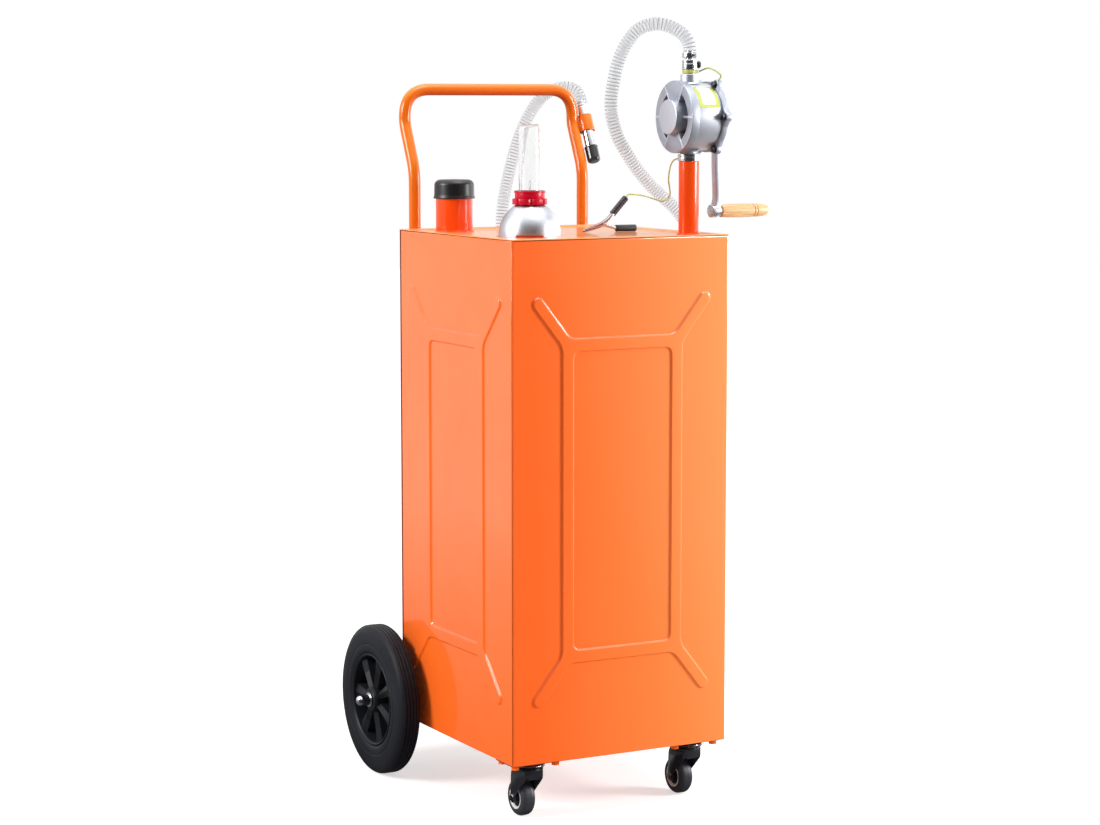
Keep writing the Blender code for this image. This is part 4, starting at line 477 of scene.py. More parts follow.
def merged(*parts):
    """Several shapes as one. A part is a shape, or a shape with the matrix or the place that it gets,
    and the number of its material."""
    whole = bmesh.new()
    for part in parts:
        bm, matrix, look = (*part, 0)[:3] if isinstance(part, tuple) else (part, None, 0)
        if isinstance(matrix, Vector):
            matrix = Matrix.Translation(matrix)
        if matrix is not None:
            bmesh.ops.transform(bm, matrix=matrix, verts=bm.verts[:])
        if look:
            for face in bm.faces:
                face.material_index = look
        mesh = bpy.data.meshes.new("part")
        bm.to_mesh(mesh)
        bm.free()
        whole.from_mesh(mesh)
        bpy.data.meshes.remove(mesh)
    return whole


def add(name, bm, looks, body, at=(0, 0, 0), turn=None, nodes=(), sharp=38, flat_sides=False):
    """One finished piece on its body, standing for the nodes that it replaces."""
    looks = looks if isinstance(looks, (list, tuple)) else [looks]
    if turn is not None:
        bmesh.ops.transform(bm, matrix=turn, verts=bm.verts[:])
    bmesh.ops.translate(bm, vec=row(at), verts=bm.verts[:])
    bmesh.ops.recalc_face_normals(bm, faces=bm.faces[:])
    mesh = bpy.data.meshes.new(name)
    bm.to_mesh(mesh)
    bm.free()
    for look in looks:
        mesh.materials.append(look)
    mesh.shade_smooth()
    mesh.set_sharp_from_angle(angle=math.radians(sharp))
    made = bpy.data.objects.new(name, mesh)
    bpy.context.scene.collection.objects.link(made)
    if flat_sides:
        weighted = made.modifiers.new("flat_sides", "WEIGHTED_NORMAL")
        weighted.keep_sharp = True
    if body:
        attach(made, body)
    if nodes:
        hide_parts(*([nodes] if isinstance(nodes, str) else nodes))
    return made


# Finishes


def shared_effect(name, inputs, outputs):
    """A node group with its sockets, and its two end nodes."""
    kinds = {"number": "NodeSocketFloat", "colour": "NodeSocketColor", "vector": "NodeSocketVector"}
    group = bpy.data.node_groups.new(name, "ShaderNodeTree")
    for label, kind in inputs.items():
        group.interface.new_socket(label, in_out="INPUT", socket_type=kinds[kind])
    for label, kind in outputs.items():
        group.interface.new_socket(label, in_out="OUTPUT", socket_type=kinds[kind])
    return group, group.nodes.new("NodeGroupInput"), group.nodes.new("NodeGroupOutput")


def step(tree, kind, inputs, **settings):
    """One node, with its settings, and with numbers or links in its sockets."""
    made = tree.nodes.new("ShaderNode" + kind)
    for key, value in settings.items():
        setattr(made, key, value)
    for key, value in inputs.items():
        if isinstance(value, bpy.types.NodeSocket):
            tree.links.new(value, made.inputs[key])
        else:
            made.inputs[key].default_value = value
    return made


def blended(tree, share, one, two, kind="MIX"):
    """A mix of two colours."""
    made = step(tree, "Mix", {0: share, 6: one, 7: two}, data_type="RGBA", blend_type=kind)
    return made.outputs[2]


def ranged(tree, value, low, high, start=0.0, end=1.0):
    inputs = {"Value": value, "From Min": start, "From Max": end, "To Min": low, "To Max": high}
    return step(tree, "MapRange", inputs).outputs["Result"]


def grain_effect():
    """Two close shades, a changing gloss and a height, at one scale and stretch."""
    inputs = {"Light": "colour", "Dark": "colour", "Scale": "number", "Stretch": "vector"}
    inputs.update({"Contrast": "number", "Gloss": "number", "Matt": "number"})
    tree, start, end = shared_effect(
        "surface grain", inputs, {"Colour": "colour", "Roughness": "number", "Height": "number"}
    )
    place = step(tree, "TexCoord", {}).outputs["Object"]
    place = step(tree, "VectorMath", {0: place, 1: start.outputs["Stretch"]}, operation="MULTIPLY").outputs[0]
    fine = step(tree, "TexNoise", {"Vector": place, "Scale": start.outputs["Scale"], "Detail": 5.0})
    broad = step(tree, "TexNoise", {"Vector": place, "Scale": 9.0, "Detail": 3.0, "Roughness": 0.6})
    both = step(tree, "Math", {0: fine.outputs["Fac"], 1: broad.outputs["Fac"]}, operation="ADD").outputs[0]
    spread = ranged(tree, both, 0.0, 1.0, 0.75, 1.25)
    share = step(tree, "Math", {0: spread, 1: start.outputs["Contrast"]}, operation="MULTIPLY").outputs[0]
    colour = blended(tree, share, start.outputs["Light"], start.outputs["Dark"])
    rough = ranged(tree, spread, start.outputs["Gloss"], start.outputs["Matt"])
    tree.links.new(colour, end.inputs["Colour"])
    tree.links.new(rough, end.inputs["Roughness"])
    tree.links.new(fine.outputs["Fac"], end.inputs["Height"])
    return tree


def dust_effect():
    """Pale dust that has settled on what faces up."""
    inputs = {"Colour": "colour", "Dust": "colour", "Amount": "number"}
    tree, start, end = shared_effect("settled dust", inputs, {"Colour": "colour"})
    facing = step(tree, "NewGeometry", {}).outputs["Normal"]
    up = step(tree, "SeparateXYZ", {0: facing}).outputs["Z"]
    place = step(tree, "TexCoord", {}).outputs["Object"]
    patches = step(tree, "TexNoise", {"Vector": place, "Scale": 46.0, "Detail": 6.0}).outputs["Fac"]
    patches = ranged(tree, patches, 0.0, 1.0, 0.42, 0.68)
    lying = ranged(tree, up, 0.0, 1.0, 0.25, 0.95)
    share = step(tree, "Math", {0: patches, 1: lying}, operation="MULTIPLY").outputs[0]
    share = step(tree, "Math", {0: share, 1: start.outputs["Amount"]}, operation="MULTIPLY").outputs[0]
    colour = blended(tree, share, start.outputs["Colour"], start.outputs["Dust"])
    tree.links.new(colour, end.inputs["Colour"])
    return tree


def scuff_effect():
    """Short fine scratches, all at slightly different lie."""
    tree, start, end = shared_effect(
        "fine scratches", {"Scale": "number", "Amount": "number"}, {"Height": "number", "Mask": "number"}
    )
    place = step(tree, "TexCoord", {}).outputs["Object"]
    bent = step(tree, "TexNoise", {"Vector": place, "Scale": 14.0, "Detail": 2.0}).outputs["Color"]
    place = step(tree, "Mix", {0: 0.05, 4: place, 5: bent}, data_type="VECTOR").outputs[1]
    place = step(tree, "VectorMath", {0: place, 1: (1.0, 1.0, 0.045)}, operation="MULTIPLY").outputs[0]
    lines = step(tree, "TexNoise", {"Vector": place, "Scale": start.outputs["Scale"], "Detail": 2.0})
    sharp = ranged(tree, lines.outputs["Fac"], 0.0, 1.0, 0.62, 0.70)
    mask = step(tree, "Math", {0: sharp, 1: start.outputs["Amount"]}, operation="MULTIPLY").outputs[0]
    tree.links.new(sharp, end.inputs["Height"])
    tree.links.new(mask, end.inputs["Mask"])
    return tree


def painted_gradient_effect():
    """A colour that goes over into a paler one along X: painted light, brighter towards one side."""
    inputs = {"Colour": "colour", "Pale": "colour", "Start": "number", "End": "number"}
    tree, start, end = shared_effect("painted light along X", inputs, {"Colour": "colour"})
    place = step(tree, "TexCoord", {}).outputs["Object"]
    across = step(tree, "SeparateXYZ", {0: place}).outputs["X"]
    share = ranged(tree, across, 0.0, 1.0, start.outputs["Start"], start.outputs["End"])
    colour = blended(tree, share, start.outputs["Colour"], start.outputs["Pale"])
    tree.links.new(colour, end.inputs["Colour"])
    return tree


def painted_top_light_effect():
    """A colour made paler on what faces up and darker underneath: painted top light, and painted shade below."""
    inputs = {"Colour": "colour", "Above": "colour", "Below": "colour"}
    tree, start, end = shared_effect("painted top light and under shade", inputs, {"Colour": "colour"})
    facing = step(tree, "NewGeometry", {}).outputs["Normal"]
    up = step(tree, "SeparateXYZ", {0: facing}).outputs["Z"]
    colour = blended(tree, ranged(tree, up, 0.0, 1.0, 0.15, 0.95), start.outputs["Colour"], start.outputs["Above"])
    colour = blended(tree, ranged(tree, up, 1.0, 0.0, -0.95, -0.05), colour, start.outputs["Below"])
    tree.links.new(colour, end.inputs["Colour"])
    return tree


def wood_effect():
    """Straight grain along X, with darker late wood and pores."""
    tree, start, end = shared_effect(
        "turned wood", {"Light": "colour", "Dark": "colour"}, {"Colour": "colour", "Height": "number"}
    )
    place = step(tree, "TexCoord", {}).outputs["Object"]
    drawn = step(tree, "VectorMath", {0: place, 1: (0.06, 1.0, 1.0)}, operation="MULTIPLY").outputs[0]
    bands = step(tree, "TexNoise", {"Vector": drawn, "Scale": 420.0, "Detail": 4.0, "Roughness": 0.6})
    pores = step(tree, "TexNoise", {"Vector": drawn, "Scale": 2400.0, "Detail": 2.0}).outputs["Fac"]
    share = ranged(tree, bands.outputs["Fac"], 0.0, 1.0, 0.38, 0.66)
    colour = blended(tree, share, start.outputs["Light"], start.outputs["Dark"])
    speck = ranged(tree, pores, 0.0, 0.4, 0.58, 0.72)
    colour = blended(tree, speck, colour, (0.42, 0.22, 0.09, 1.0))
    tree.links.new(colour, end.inputs["Colour"])
    tree.links.new(pores, end.inputs["Height"])
    return tree


GRAIN = grain_effect()
DUST = dust_effect()
SCRATCHES = scuff_effect()
PAINTED_GRADIENT = painted_gradient_effect()
PAINTED_TOP_LIGHT = painted_top_light_effect()
WOOD = wood_effect()


def grouped(tree, group, inputs):
    made = tree.nodes.new("ShaderNodeGroup")
    made.node_tree = group
    for key, value in inputs.items():
        if isinstance(value, bpy.types.NodeSocket):
            tree.links.new(value, made.inputs[key])
        else:
            made.inputs[key].default_value = value
    return made


def blank_finish(name, slot, plain):
    """A material whose shader has its even values set, and its node tree."""
    made = bpy.data.materials.new(name)
    made["slot"] = slot
    made.use_nodes = True
    shader = made.node_tree.nodes["Principled BSDF"]
    for key, value in plain.items():
        shader.inputs[key].default_value = value
    return made, made.node_tree, shader


def bumped(tree, shader, height, strength, distance):
    bump = step(tree, "Bump", {"Strength": strength, "Distance": distance, "Height": height})
    tree.links.new(bump.outputs["Normal"], shader.inputs["Normal"])
    return bump


def finish(name, slot, light, dark, scale, gloss, matt, bump, plain, stretch=(1, 1, 1), dust=0.0, scuffs=0.0,
           painted_gradient=None, painted_top_light=None):
    """A finish with grain, and with dust, scratches and painted light where it has them: a paler side, or a paler top
    and darker underside.
    """
    made, tree, shader = blank_finish(name, slot, plain)
    inputs = {"Light": (*light, 1), "Dark": (*dark, 1), "Scale": scale, "Stretch": stretch}
    inputs.update({"Contrast": 1.0, "Gloss": gloss, "Matt": matt})
    grain = grouped(tree, GRAIN, inputs)
    colour = grain.outputs["Colour"]
    rough = grain.outputs["Roughness"]
    if scuffs:
        marks = grouped(tree, SCRATCHES, {"Scale": 900.0, "Amount": scuffs})
        rough = step(tree, "Math", {0: rough, 1: marks.outputs["Mask"]}, operation="ADD").outputs[0]
    if painted_gradient:
        pale, low, high = painted_gradient
        inputs = {"Colour": colour, "Pale": (*pale, 1), "Start": low, "End": high}
        colour = grouped(tree, PAINTED_GRADIENT, inputs).outputs["Colour"]
    if painted_top_light:
        inputs = {"Colour": colour, "Above": (*painted_top_light[0], 1), "Below": (*painted_top_light[1], 1)}
        colour = grouped(tree, PAINTED_TOP_LIGHT, inputs).outputs["Colour"]
    if dust:
        inputs = {"Colour": colour, "Dust": (0.62, 0.58, 0.54, 1), "Amount": dust}
        colour = grouped(tree, DUST, inputs).outputs["Colour"]
    tree.links.new(colour, shader.inputs["Base Color"])
    tree.links.new(rough, shader.inputs["Roughness"])
    bumped(tree, shader, grain.outputs["Height"], *bump)
    return made


def wood_finish():
    plain = {"Roughness": 0.42, "Coat Weight": 0.25, "Coat Roughness": 0.28}
    made, tree, shader = blank_finish("beech grip", "pale_wood", plain)
    figure = grouped(tree, WOOD, {"Light": (*tone(232, 192, 138), 1), "Dark": (*tone(206, 156, 100), 1)})
    tree.links.new(figure.outputs["Colour"], shader.inputs["Base Color"])
    bumped(tree, shader, figure.outputs["Height"], 0.25, 0.0002)
    return made


def clear_finish(name, colour, transmission, gloss, matt, coat, alpha):
    """See-through plastic with a faint haze."""
    plain = {"Transmission Weight": transmission, "IOR": 1.2, "Coat Weight": coat, "Metallic": 0.0}
    plain["Alpha"] = alpha
    made, tree, shader = blank_finish(name, "clear_plastic", plain)
    inputs = {"Light": (*colour, 1), "Dark": (*[0.94 * c for c in colour], 1), "Scale": 160.0}
    inputs.update({"Stretch": (1, 1, 0.3), "Contrast": 0.6, "Gloss": gloss, "Matt": matt})
    grain = grouped(tree, GRAIN, inputs)
    tree.links.new(grain.outputs["Colour"], shader.inputs["Base Color"])
    tree.links.new(grain.outputs["Roughness"], shader.inputs["Roughness"])
    bumped(tree, shader, grain.outputs["Height"], 0.05, 0.0003)
    return made


COAT = {"Coat Weight": 1.0, "Coat Roughness": 0.03, "Specular IOR Level": 0.10}
DECK_COAT = {"Coat Weight": 0.55, "Coat Roughness": 0.03, "Specular IOR Level": 0.15}
TUBE_COAT = {"Coat Weight": 0.5, "Coat Roughness": 0.12, "Specular IOR Level": 0.1}
TANK_ORANGE = finish("tank orange", "orange_powder_coat", (0.99, 0.155, 0.016), (0.95, 0.142, 0.014), 620.0,
                     0.34, 0.46, (0.03, 0.0003), COAT, dust=0.10, scuffs=0.05)
# The front wall's orange is a darker copy of the tank orange that goes paler towards the right: painted light across
# the wall.
FRONT_PAINTED_LIGHT = ((1.0, 0.262, 0.062), MIDDLE.x - RIGHT_WALL + 0.01, MIDDLE.x + RIGHT_WALL)
FRONT_ORANGE_PAINTED_LIGHT = finish("front orange with painted light", "orange_powder_coat", (0.99, 0.136, 0.015), (0.95, 0.126, 0.013), 620.0,
                      0.34, 0.46, (0.03, 0.0003), COAT, dust=0.10, scuffs=0.05, painted_gradient=FRONT_PAINTED_LIGHT)
# The deck's orange is a much paler copy of the tank orange: painted sheen of the white surroundings on the top.
DECK_ORANGE_PAINTED_SHEEN = finish("deck orange with painted sheen", "orange_powder_coat", (0.99, 0.340, 0.085), (0.96, 0.310, 0.070), 620.0,
                     0.30, 0.40, (0.02, 0.0002), DECK_COAT, dust=0.04)
# The handle's orange is paler on top and darker underneath: painted light and painted shade.
HANDLE_ORANGE = finish("handle orange with painted light", "orange_powder_coat", (0.73, 0.137, 0.004), (0.66, 0.116, 0.003), 700.0,
                       0.24, 0.36, (0.10, 0.0003), TUBE_COAT, dust=0.04, scuffs=0.08,
                       painted_top_light=((0.90, 0.27, 0.026), (0.40, 0.045, 0.002)))
FITTING_ORANGE = finish("fitting orange", "orange_powder_coat", (0.86, 0.070, 0.003), (0.80, 0.058, 0.002), 700.0,
                        0.22, 0.32, (0.08, 0.0003), TUBE_COAT, dust=0.03)
METAL = {"Metallic": 1.0}
CAST = {"Metallic": 0.80, "Specular IOR Level": 0.4}
SATIN_CAST = finish("satin cast", "cast_aluminium", tone(204, 208, 218), tone(184, 188, 198), 900.0, 0.34, 0.46,
                    (0.20, 0.0004), CAST, scuffs=0.10)
DULL_CAST = finish("dull cast", "cast_aluminium", tone(172, 177, 188), tone(150, 155, 166), 900.0, 0.38, 0.50,
                   (0.20, 0.0004), CAST, scuffs=0.10)
SAND_CAST = finish("sand cast", "cast_aluminium", tone(176, 181, 192), tone(124, 129, 140), 1500.0, 0.42, 0.62,
                   (0.55, 0.0008), CAST)
# The pocket floors' finish is a dark copy of the cast aluminium: painted shade in the cover's pockets.
POCKET_CAST_PAINTED_SHADE = finish("pocket cast with painted shade", "cast_aluminium", tone(84, 88, 98), tone(52, 55, 62), 1500.0, 0.5, 0.7,
                     (0.55, 0.0008), CAST)
BRIGHT = finish("zinc plate", "bright_steel", tone(214, 214, 218), tone(186, 187, 192), 800.0, 0.16, 0.30,
                (0.10, 0.0002), METAL, scuffs=0.10)
BOLT_DARK = finish("bolt head", "cast_aluminium", tone(96, 97, 102), tone(64, 65, 70), 900.0, 0.30, 0.44,
                   (0.15, 0.0003), METAL)
CHROME = finish("chrome", "chrome_plate", tone(232, 232, 236), tone(222, 223, 228), 220.0, 0.05, 0.10,
                (0.03, 0.0003), METAL, scuffs=0.04)
DOME_CHROME = finish("satin chrome", "chrome_plate", tone(198, 200, 206), tone(178, 180, 188), 220.0, 0.34, 0.42,
                     (0.03, 0.0003), METAL, scuffs=0.04)
# The seam strips sit in real joints and are coloured dark brown: painted shade along the corners and under the deck's
# edge.
SEAM_PAINTED_SHADE = finish("seam painted shade", "orange_powder_coat", tone(92, 30, 8), tone(70, 22, 6), 900.0, 0.5, 0.6,
                    (0.2, 0.0003), {"Specular IOR Level": 0.1})
# The patch at the front of the dome's foot is a painted shadow of the dome on the deck.
DOME_FOOT_PAINTED_SHADOW = finish("dome foot painted shadow", "orange_powder_coat", tone(176, 62, 32), tone(140, 46, 24), 900.0, 0.5, 0.6,
                (0.2, 0.0003), {"Specular IOR Level": 0.1})
CAP_BLACK = finish("cap black", "black_plastic", tone(26, 27, 30), tone(18, 19, 22), 1300.0, 0.30, 0.42,
                   (0.10, 0.0003), {"Specular IOR Level": 0.36}, dust=0.03)
HUB_BLACK = finish("hub black", "black_plastic", tone(32, 33, 37), tone(23, 24, 27), 1300.0, 0.36, 0.50,
                   (0.12, 0.0003), {"Specular IOR Level": 0.14}, dust=0.01)
FORK_BLACK = finish("fork black", "black_painted_steel", tone(44, 46, 50), tone(32, 34, 38), 500.0, 0.14, 0.22,
                    (0.05, 0.0003), {"Coat Weight": 1.0, "Coat Roughness": 0.05}, dust=0.03, scuffs=0.06)
TYRE = finish("tyre rubber", "tyre_rubber", tone(33, 34, 40), tone(23, 24, 29), 1100.0, 0.40, 0.52,
              (0.20, 0.0003), {"Specular IOR Level": 0.12}, dust=0.01)
DUST_BLACK = finish("dust cap black", "black_rubber", tone(38, 38, 41), tone(26, 26, 29), 900.0, 0.16, 0.26,
                    (0.06, 0.0003), {"Coat Weight": 0.3, "Coat Roughness": 0.1})
CASTER_RUBBER = finish("caster rubber", "tyre_rubber", tone(62, 64, 70), tone(44, 46, 51), 1100.0, 0.34, 0.46,
                       (0.15, 0.0003), {"Specular IOR Level": 0.35}, dust=0.01)
SOFT_BLACK = finish("grip rubber", "black_rubber", tone(40, 40, 43), tone(26, 26, 29), 1000.0, 0.36, 0.5,
                    (0.15, 0.0003), {"Specular IOR Level": 0.5}, dust=0.08)
RED = finish("nut red", "red_plastic", tone(206, 8, 44), tone(176, 4, 34), 900.0, 0.22, 0.34,
             (0.08, 0.0003), {"Coat Weight": 0.10, "Coat Roughness": 0.1, "Specular IOR Level": 0.22})
WHITE = finish("hub white", "white_plastic", tone(226, 226, 224), tone(206, 206, 204), 900.0, 0.28, 0.40,
               (0.08, 0.0003), {"Specular IOR Level": 0.5}, dust=0.10)
EARTH = finish("earth wire sheath", "earth_wire_sheath", tone(212, 210, 118), tone(146, 152, 74), 240.0, 0.34, 0.46,
               (0.06, 0.0002), {"Specular IOR Level": 0.5}, stretch=(1, 1, 0.4))
LABEL = finish("blank label", "cast_aluminium", tone(230, 230, 232), tone(222, 222, 225), 300.0, 0.30, 0.42,
               (0.03, 0.0002), {"Specular IOR Level": 0.4})
LABEL_EDGE = finish("label border", "cast_aluminium", tone(208, 214, 106), tone(194, 202, 94), 300.0, 0.30, 0.42,
                    (0.03, 0.0002), {"Specular IOR Level": 0.4})
GRIP_WOOD = wood_finish()
HOSE_CLEAR = clear_finish("hose clear", (0.62, 0.64, 0.68), 0.0, 0.14, 0.24, 0.2, 0.14)
HOSE_RIB = clear_finish("hose rib", (0.105, 0.115, 0.140), 0.0, 0.30, 0.40, 0.0, 0.46)
TUBE_CLEAR = clear_finish("sight tube", (0.985, 0.99, 0.99), 0.98, 0.03, 0.07, 0.2, 1.0)


def dress_node(name, *looks):
    """Gives a solid that stays its finish."""
    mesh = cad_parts[name].data
    mesh.materials.clear()
    for look in looks:
        mesh.materials.append(look)


# View


def set_camera():
    eye = bpy.data.cameras.new("view")
    eye.sensor_width = FILM_WIDTH
    eye.lens = PHOTO_FOCUS * FILM_WIDTH / PHOTO_WIDTH
    holder = bpy.data.objects.new("view", eye)
    holder.location = CAMERA_AT
    holder.rotation_euler = CAMERA_TURN
    bpy.context.scene.collection.objects.link(holder)
    bpy.context.scene.camera = holder


# Hose and wires


def hose_line():
    """The hose's middle line, straight where it leaves the pump and where it enters the nozzle."""
    route = [Vector(p) for p in HOSE_ROUTE]
    route.append(CLIP_AT + NOZZLE_UP_AXIS * (NOZZLE_UP + HOSE_RADIUS))
    route.append(CLIP_AT + NOZZLE_UP_AXIS * (NOZZLE_UP + GAP))
    path = smooth_route(route, HOSE_STEPS)
    path[1] = path[0] + Vector((0, 0, (path[1] - path[0]).length))
    path[-2] = path[-1] + NOZZLE_UP_AXIS * (path[-2] - path[-1]).length
    return path


def ribbed_hose(path):
    """A clear hose with a shallow groove at every turn, and its bore."""
    bm = bmesh.new()
    sides = 20
    rib_steps = 4
    ribs = round(HOSE_LENGTH / HOSE_PITCH)
    outer = smooth_route(path, ribs * rib_steps + 1)
    shares = (1.0, 1.0, 0.945, 0.945)
    radii = [HOSE_RADIUS * shares[k % rib_steps] for k in range(len(outer))]
    rings = sweep_rings(bm, outer, radii, sides)
    for k, (a, b) in enumerate(zip(rings, rings[1:])):
        for face in skirt(bm, a, b):
            face.material_index = 1 if k % rib_steps == 2 else 0
    inner = smooth_route(path, ribs + 1)
    bores = sweep_rings(bm, inner, [HOSE_BORE] * len(inner), sides)
    for a, b in zip(bores, bores[1:]):
        skirt(bm, b, a)
    skirt(bm, bores[0], rings[0])
    skirt(bm, rings[-1], bores[-1])
    return bm


def build_hose():
    path = hose_line()
    hose = add("delivery_hose", ribbed_hose(path), [HOSE_CLEAR, HOSE_RIB], "caddy_frame", nodes="hose", sharp=60)
    return hose, path


def build_ground_wire():
    along = Vector((math.cos(CLAMP_SPREAD), 0, math.sin(CLAMP_SPREAD)))
    start = CLAMP + along * (0.060 + GAP)
    route = [start, start + along * BARB_RADIUS, *[Vector(p) for p in WIRE_ROUTE]]
    path = smooth_route(route, 26)
    fine = smooth_route(path, 120)
    wire = add("earth_wire", sweep(fine, WIRE_RADIUS, 12), EARTH, "", nodes="ground_wire", sharp=80)
    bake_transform(wire)
    return wire, path


def build_bond_wire():
    """The lead from the ring on the outlet's neck to an ear of the rear cover."""
    ring = pipe(0.0103, RING_OUTER, RING_BOTTOM, RING_TOP, ease=0.0008)
    crimp = rod(0.0022, 0, 0.0052, 16)
    at_side = Matrix.Translation((RING_OUTER - 0.0008, 0, (RING_BOTTOM + RING_TOP) / 2)) @ ALONG_X
    whole = merged(ring, (crimp, at_side, 1))
    collar = add("bond_ring", whole, [EARTH, BRIGHT], "caddy_frame", at=POST, nodes="bond_wire")
    start = POST + Vector((RING_OUTER - 0.0005, 0, (RING_BOTTOM + RING_TOP) / 2))
    angle = 2 * math.pi / EAR_COUNT
    away = Vector((0, -math.cos(angle), math.sin(angle)))
    ear = PUMP + Vector(((BODY_RIGHT + FLANGE_RIGHT) / 2, 0, 0)) + away * EAR_CIRCLE
    end = ear + away * (EAR_RADIUS + 2 * GAP)
    rise = end + away * UNION_RADIUS / 2
    top = start.lerp(rise, 0.55) + Vector((0, 0, POST_RADIUS / 2))
    out = start + Vector((KNOB_RADIUS, 0, 0))
    path = smooth_route((start, out, top, rise, end), 40)
    lead = add("bond_lead", sweep(path, WIRE_RADIUS, 12), EARTH, "caddy_frame", sharp=80)
    return lead, collar, path


# Tank


def smooth_steps(count):
    """Shares of a soft slope, with how far it has risen at each."""
    shares = [k / count for k in range(count + 1)]
    return [(t, t * t * (3 - 2 * t)) for t in shares]


def band_outline(cut, half, arm_reach):
    """The outer edge of a pressed band, with an arm out of each corner if it has them."""
    outer_half = half + BAND_WIDTH - cut
    outer_rise = BAND_HALF_HEIGHT + BAND_WIDTH - cut
    if arm_reach is None:
        return box_outline(outer_half, outer_rise, BAND_CORNER + BAND_WIDTH / 2 - cut)
    root = Vector((half + BAND_WIDTH / 2, BAND_HALF_HEIGHT + BAND_WIDTH / 2))
    end = Vector((arm_reach, ARM_RISE))
    along = (end - root).normalized()
    across = Vector((along.y, -along.x))
    reach = ARM_WIDTH / 2 - cut
    low = root + across * reach
    low += along * (outer_half - low.x) / along.x
    high = root - across * reach
    high += along * (outer_rise - high.y) / along.y
    turns = [math.pi * k / 10 for k in range(11)]
    tip = [end + across * reach * math.cos(a) + along * reach * math.sin(a) for a in turns]
    quarter = [low, *tip, high]
    rounding = [ARM_FILLET + cut, *[0.0] * len(tip), ARM_FILLET + cut]
    points = []
    reaches = []
    for sx, sy in ((1, 1), (-1, 1), (-1, -1), (1, -1)):
        share = [(sx * p.x, sy * p.y) for p in quarter]
        points += share if sx == sy else share[::-1]
        reaches += rounding
    return eased(points, reaches, closed=True, steps=6)


def wall_shape(half_width, band_half, arm_reach):
    """A wall of the tank with rolled edges and its pressed band, flat behind."""
    half_height = TANK_HEIGHT / 2
    top = half_height - SHEET - TOP_SEAM
    sheet_edge = [(half_width, -half_height), (half_width, top), (-half_width, top), (-half_width, -half_height)]
    bm = bmesh.new()
    roll = ((0, -SHEET), (0.0001, -0.0011), (0.0007, -0.0005), (0.0016, -0.0001), (0.0026, 0))
    rings = [loop(bm, inset(sheet_edge, cut), rise) for cut, rise in roll]
    for a, b in zip(rings, rings[1:]):
        skirt(bm, a, b)
    outer = []
    inner = []
    for t, rise in smooth_steps(8):
        outer.append(loop(bm, band_outline(BAND_SLOPE * t, band_half, arm_reach), BAND_RISE * rise))
        cut = BAND_SLOPE * t
        edge = box_outline(band_half + cut, BAND_HALF_HEIGHT + cut, BAND_CORNER + cut)
        inner.append(loop(bm, edge, BAND_RISE * rise))
    for line in (outer, inner):
        for a, b in zip(line, line[1:]):
            skirt(bm, a, b)
    fill(bm, rings[0])
    fill(bm, rings[-1], outer[0])
    fill(bm, outer[-1], inner[-1])
    fill(bm, inner[0])
    return bm


def build_tank():
    side_half = TANK_DEPTH / 2 - SHEET - GAP - SEAM
    walls = (
        ("front", 0, REAR_WALL, RIGHT_WALL, 0.087, 0.151),
        ("right", 90, RIGHT_WALL, side_half, 0.085, 0.157),
        ("back", 180, REAR_WALL, RIGHT_WALL, 0.087, None),
        ("left", 270, RIGHT_WALL, side_half, 0.085, 0.157),
    )
    middle = Vector((0, 0, TANK_FOOT + TANK_HEIGHT / 2))
    for side, facing, reach, half_width, band_half, arm_reach in walls:
        turn = Matrix.Rotation(math.radians(facing), 4, "Z")
        at = turn.to_3x3() @ Vector((0, -reach, 0)) + middle
        shape = wall_shape(half_width, band_half, arm_reach)
        # The front wall takes the orange with painted light across it.
        look = FRONT_ORANGE_PAINTED_LIGHT if side == "front" else TANK_ORANGE
        add(f"{side}_wall", shape, look, "caddy_frame", at, turn @ UPRIGHT, f"tank_{side}", 50, True)
    # Dark strips in the corner seams and under the deck's rolled edge: real joints, coloured as painted shade.
    shade_strips = []
    for x in (-1, 1):
        for y in (-1, 1):
            corner = Vector((x * (RIGHT_WALL - 0.0018), y * (REAR_WALL - SHEET - 0.0018), TANK_FOOT + TANK_HEIGHT / 2))
            reach = Vector((0.0012, 0.0013, TANK_HEIGHT / 2 - 0.002))
            shade_strips.append(bar(corner - reach, corner + reach))
    low, high = TANK_TOP - SHEET - TOP_SEAM - 0.0006, TANK_TOP - SHEET + 0.0003
    for side in (-1, 1):
        across = sorted((side * (RIGHT_WALL - 0.0006), side * (RIGHT_WALL - 0.0022)))
        along = sorted((side * (REAR_WALL - 0.0006), side * (REAR_WALL - 0.0022)))
        shade_strips.append(bar((across[0], -REAR_WALL + 0.001, low), (across[1], REAR_WALL - 0.001, high)))
        shade_strips.append(bar((-RIGHT_WALL + 0.001, along[0], low), (RIGHT_WALL - 0.001, along[1], high)))
    add("corner_seam_shade", merged(*shade_strips), SEAM_PAINTED_SHADE, "caddy_frame")
    build_deck()
    dress_node("tank_bottom", TANK_ORANGE)
    dress_node("axle_channel", TANK_ORANGE)


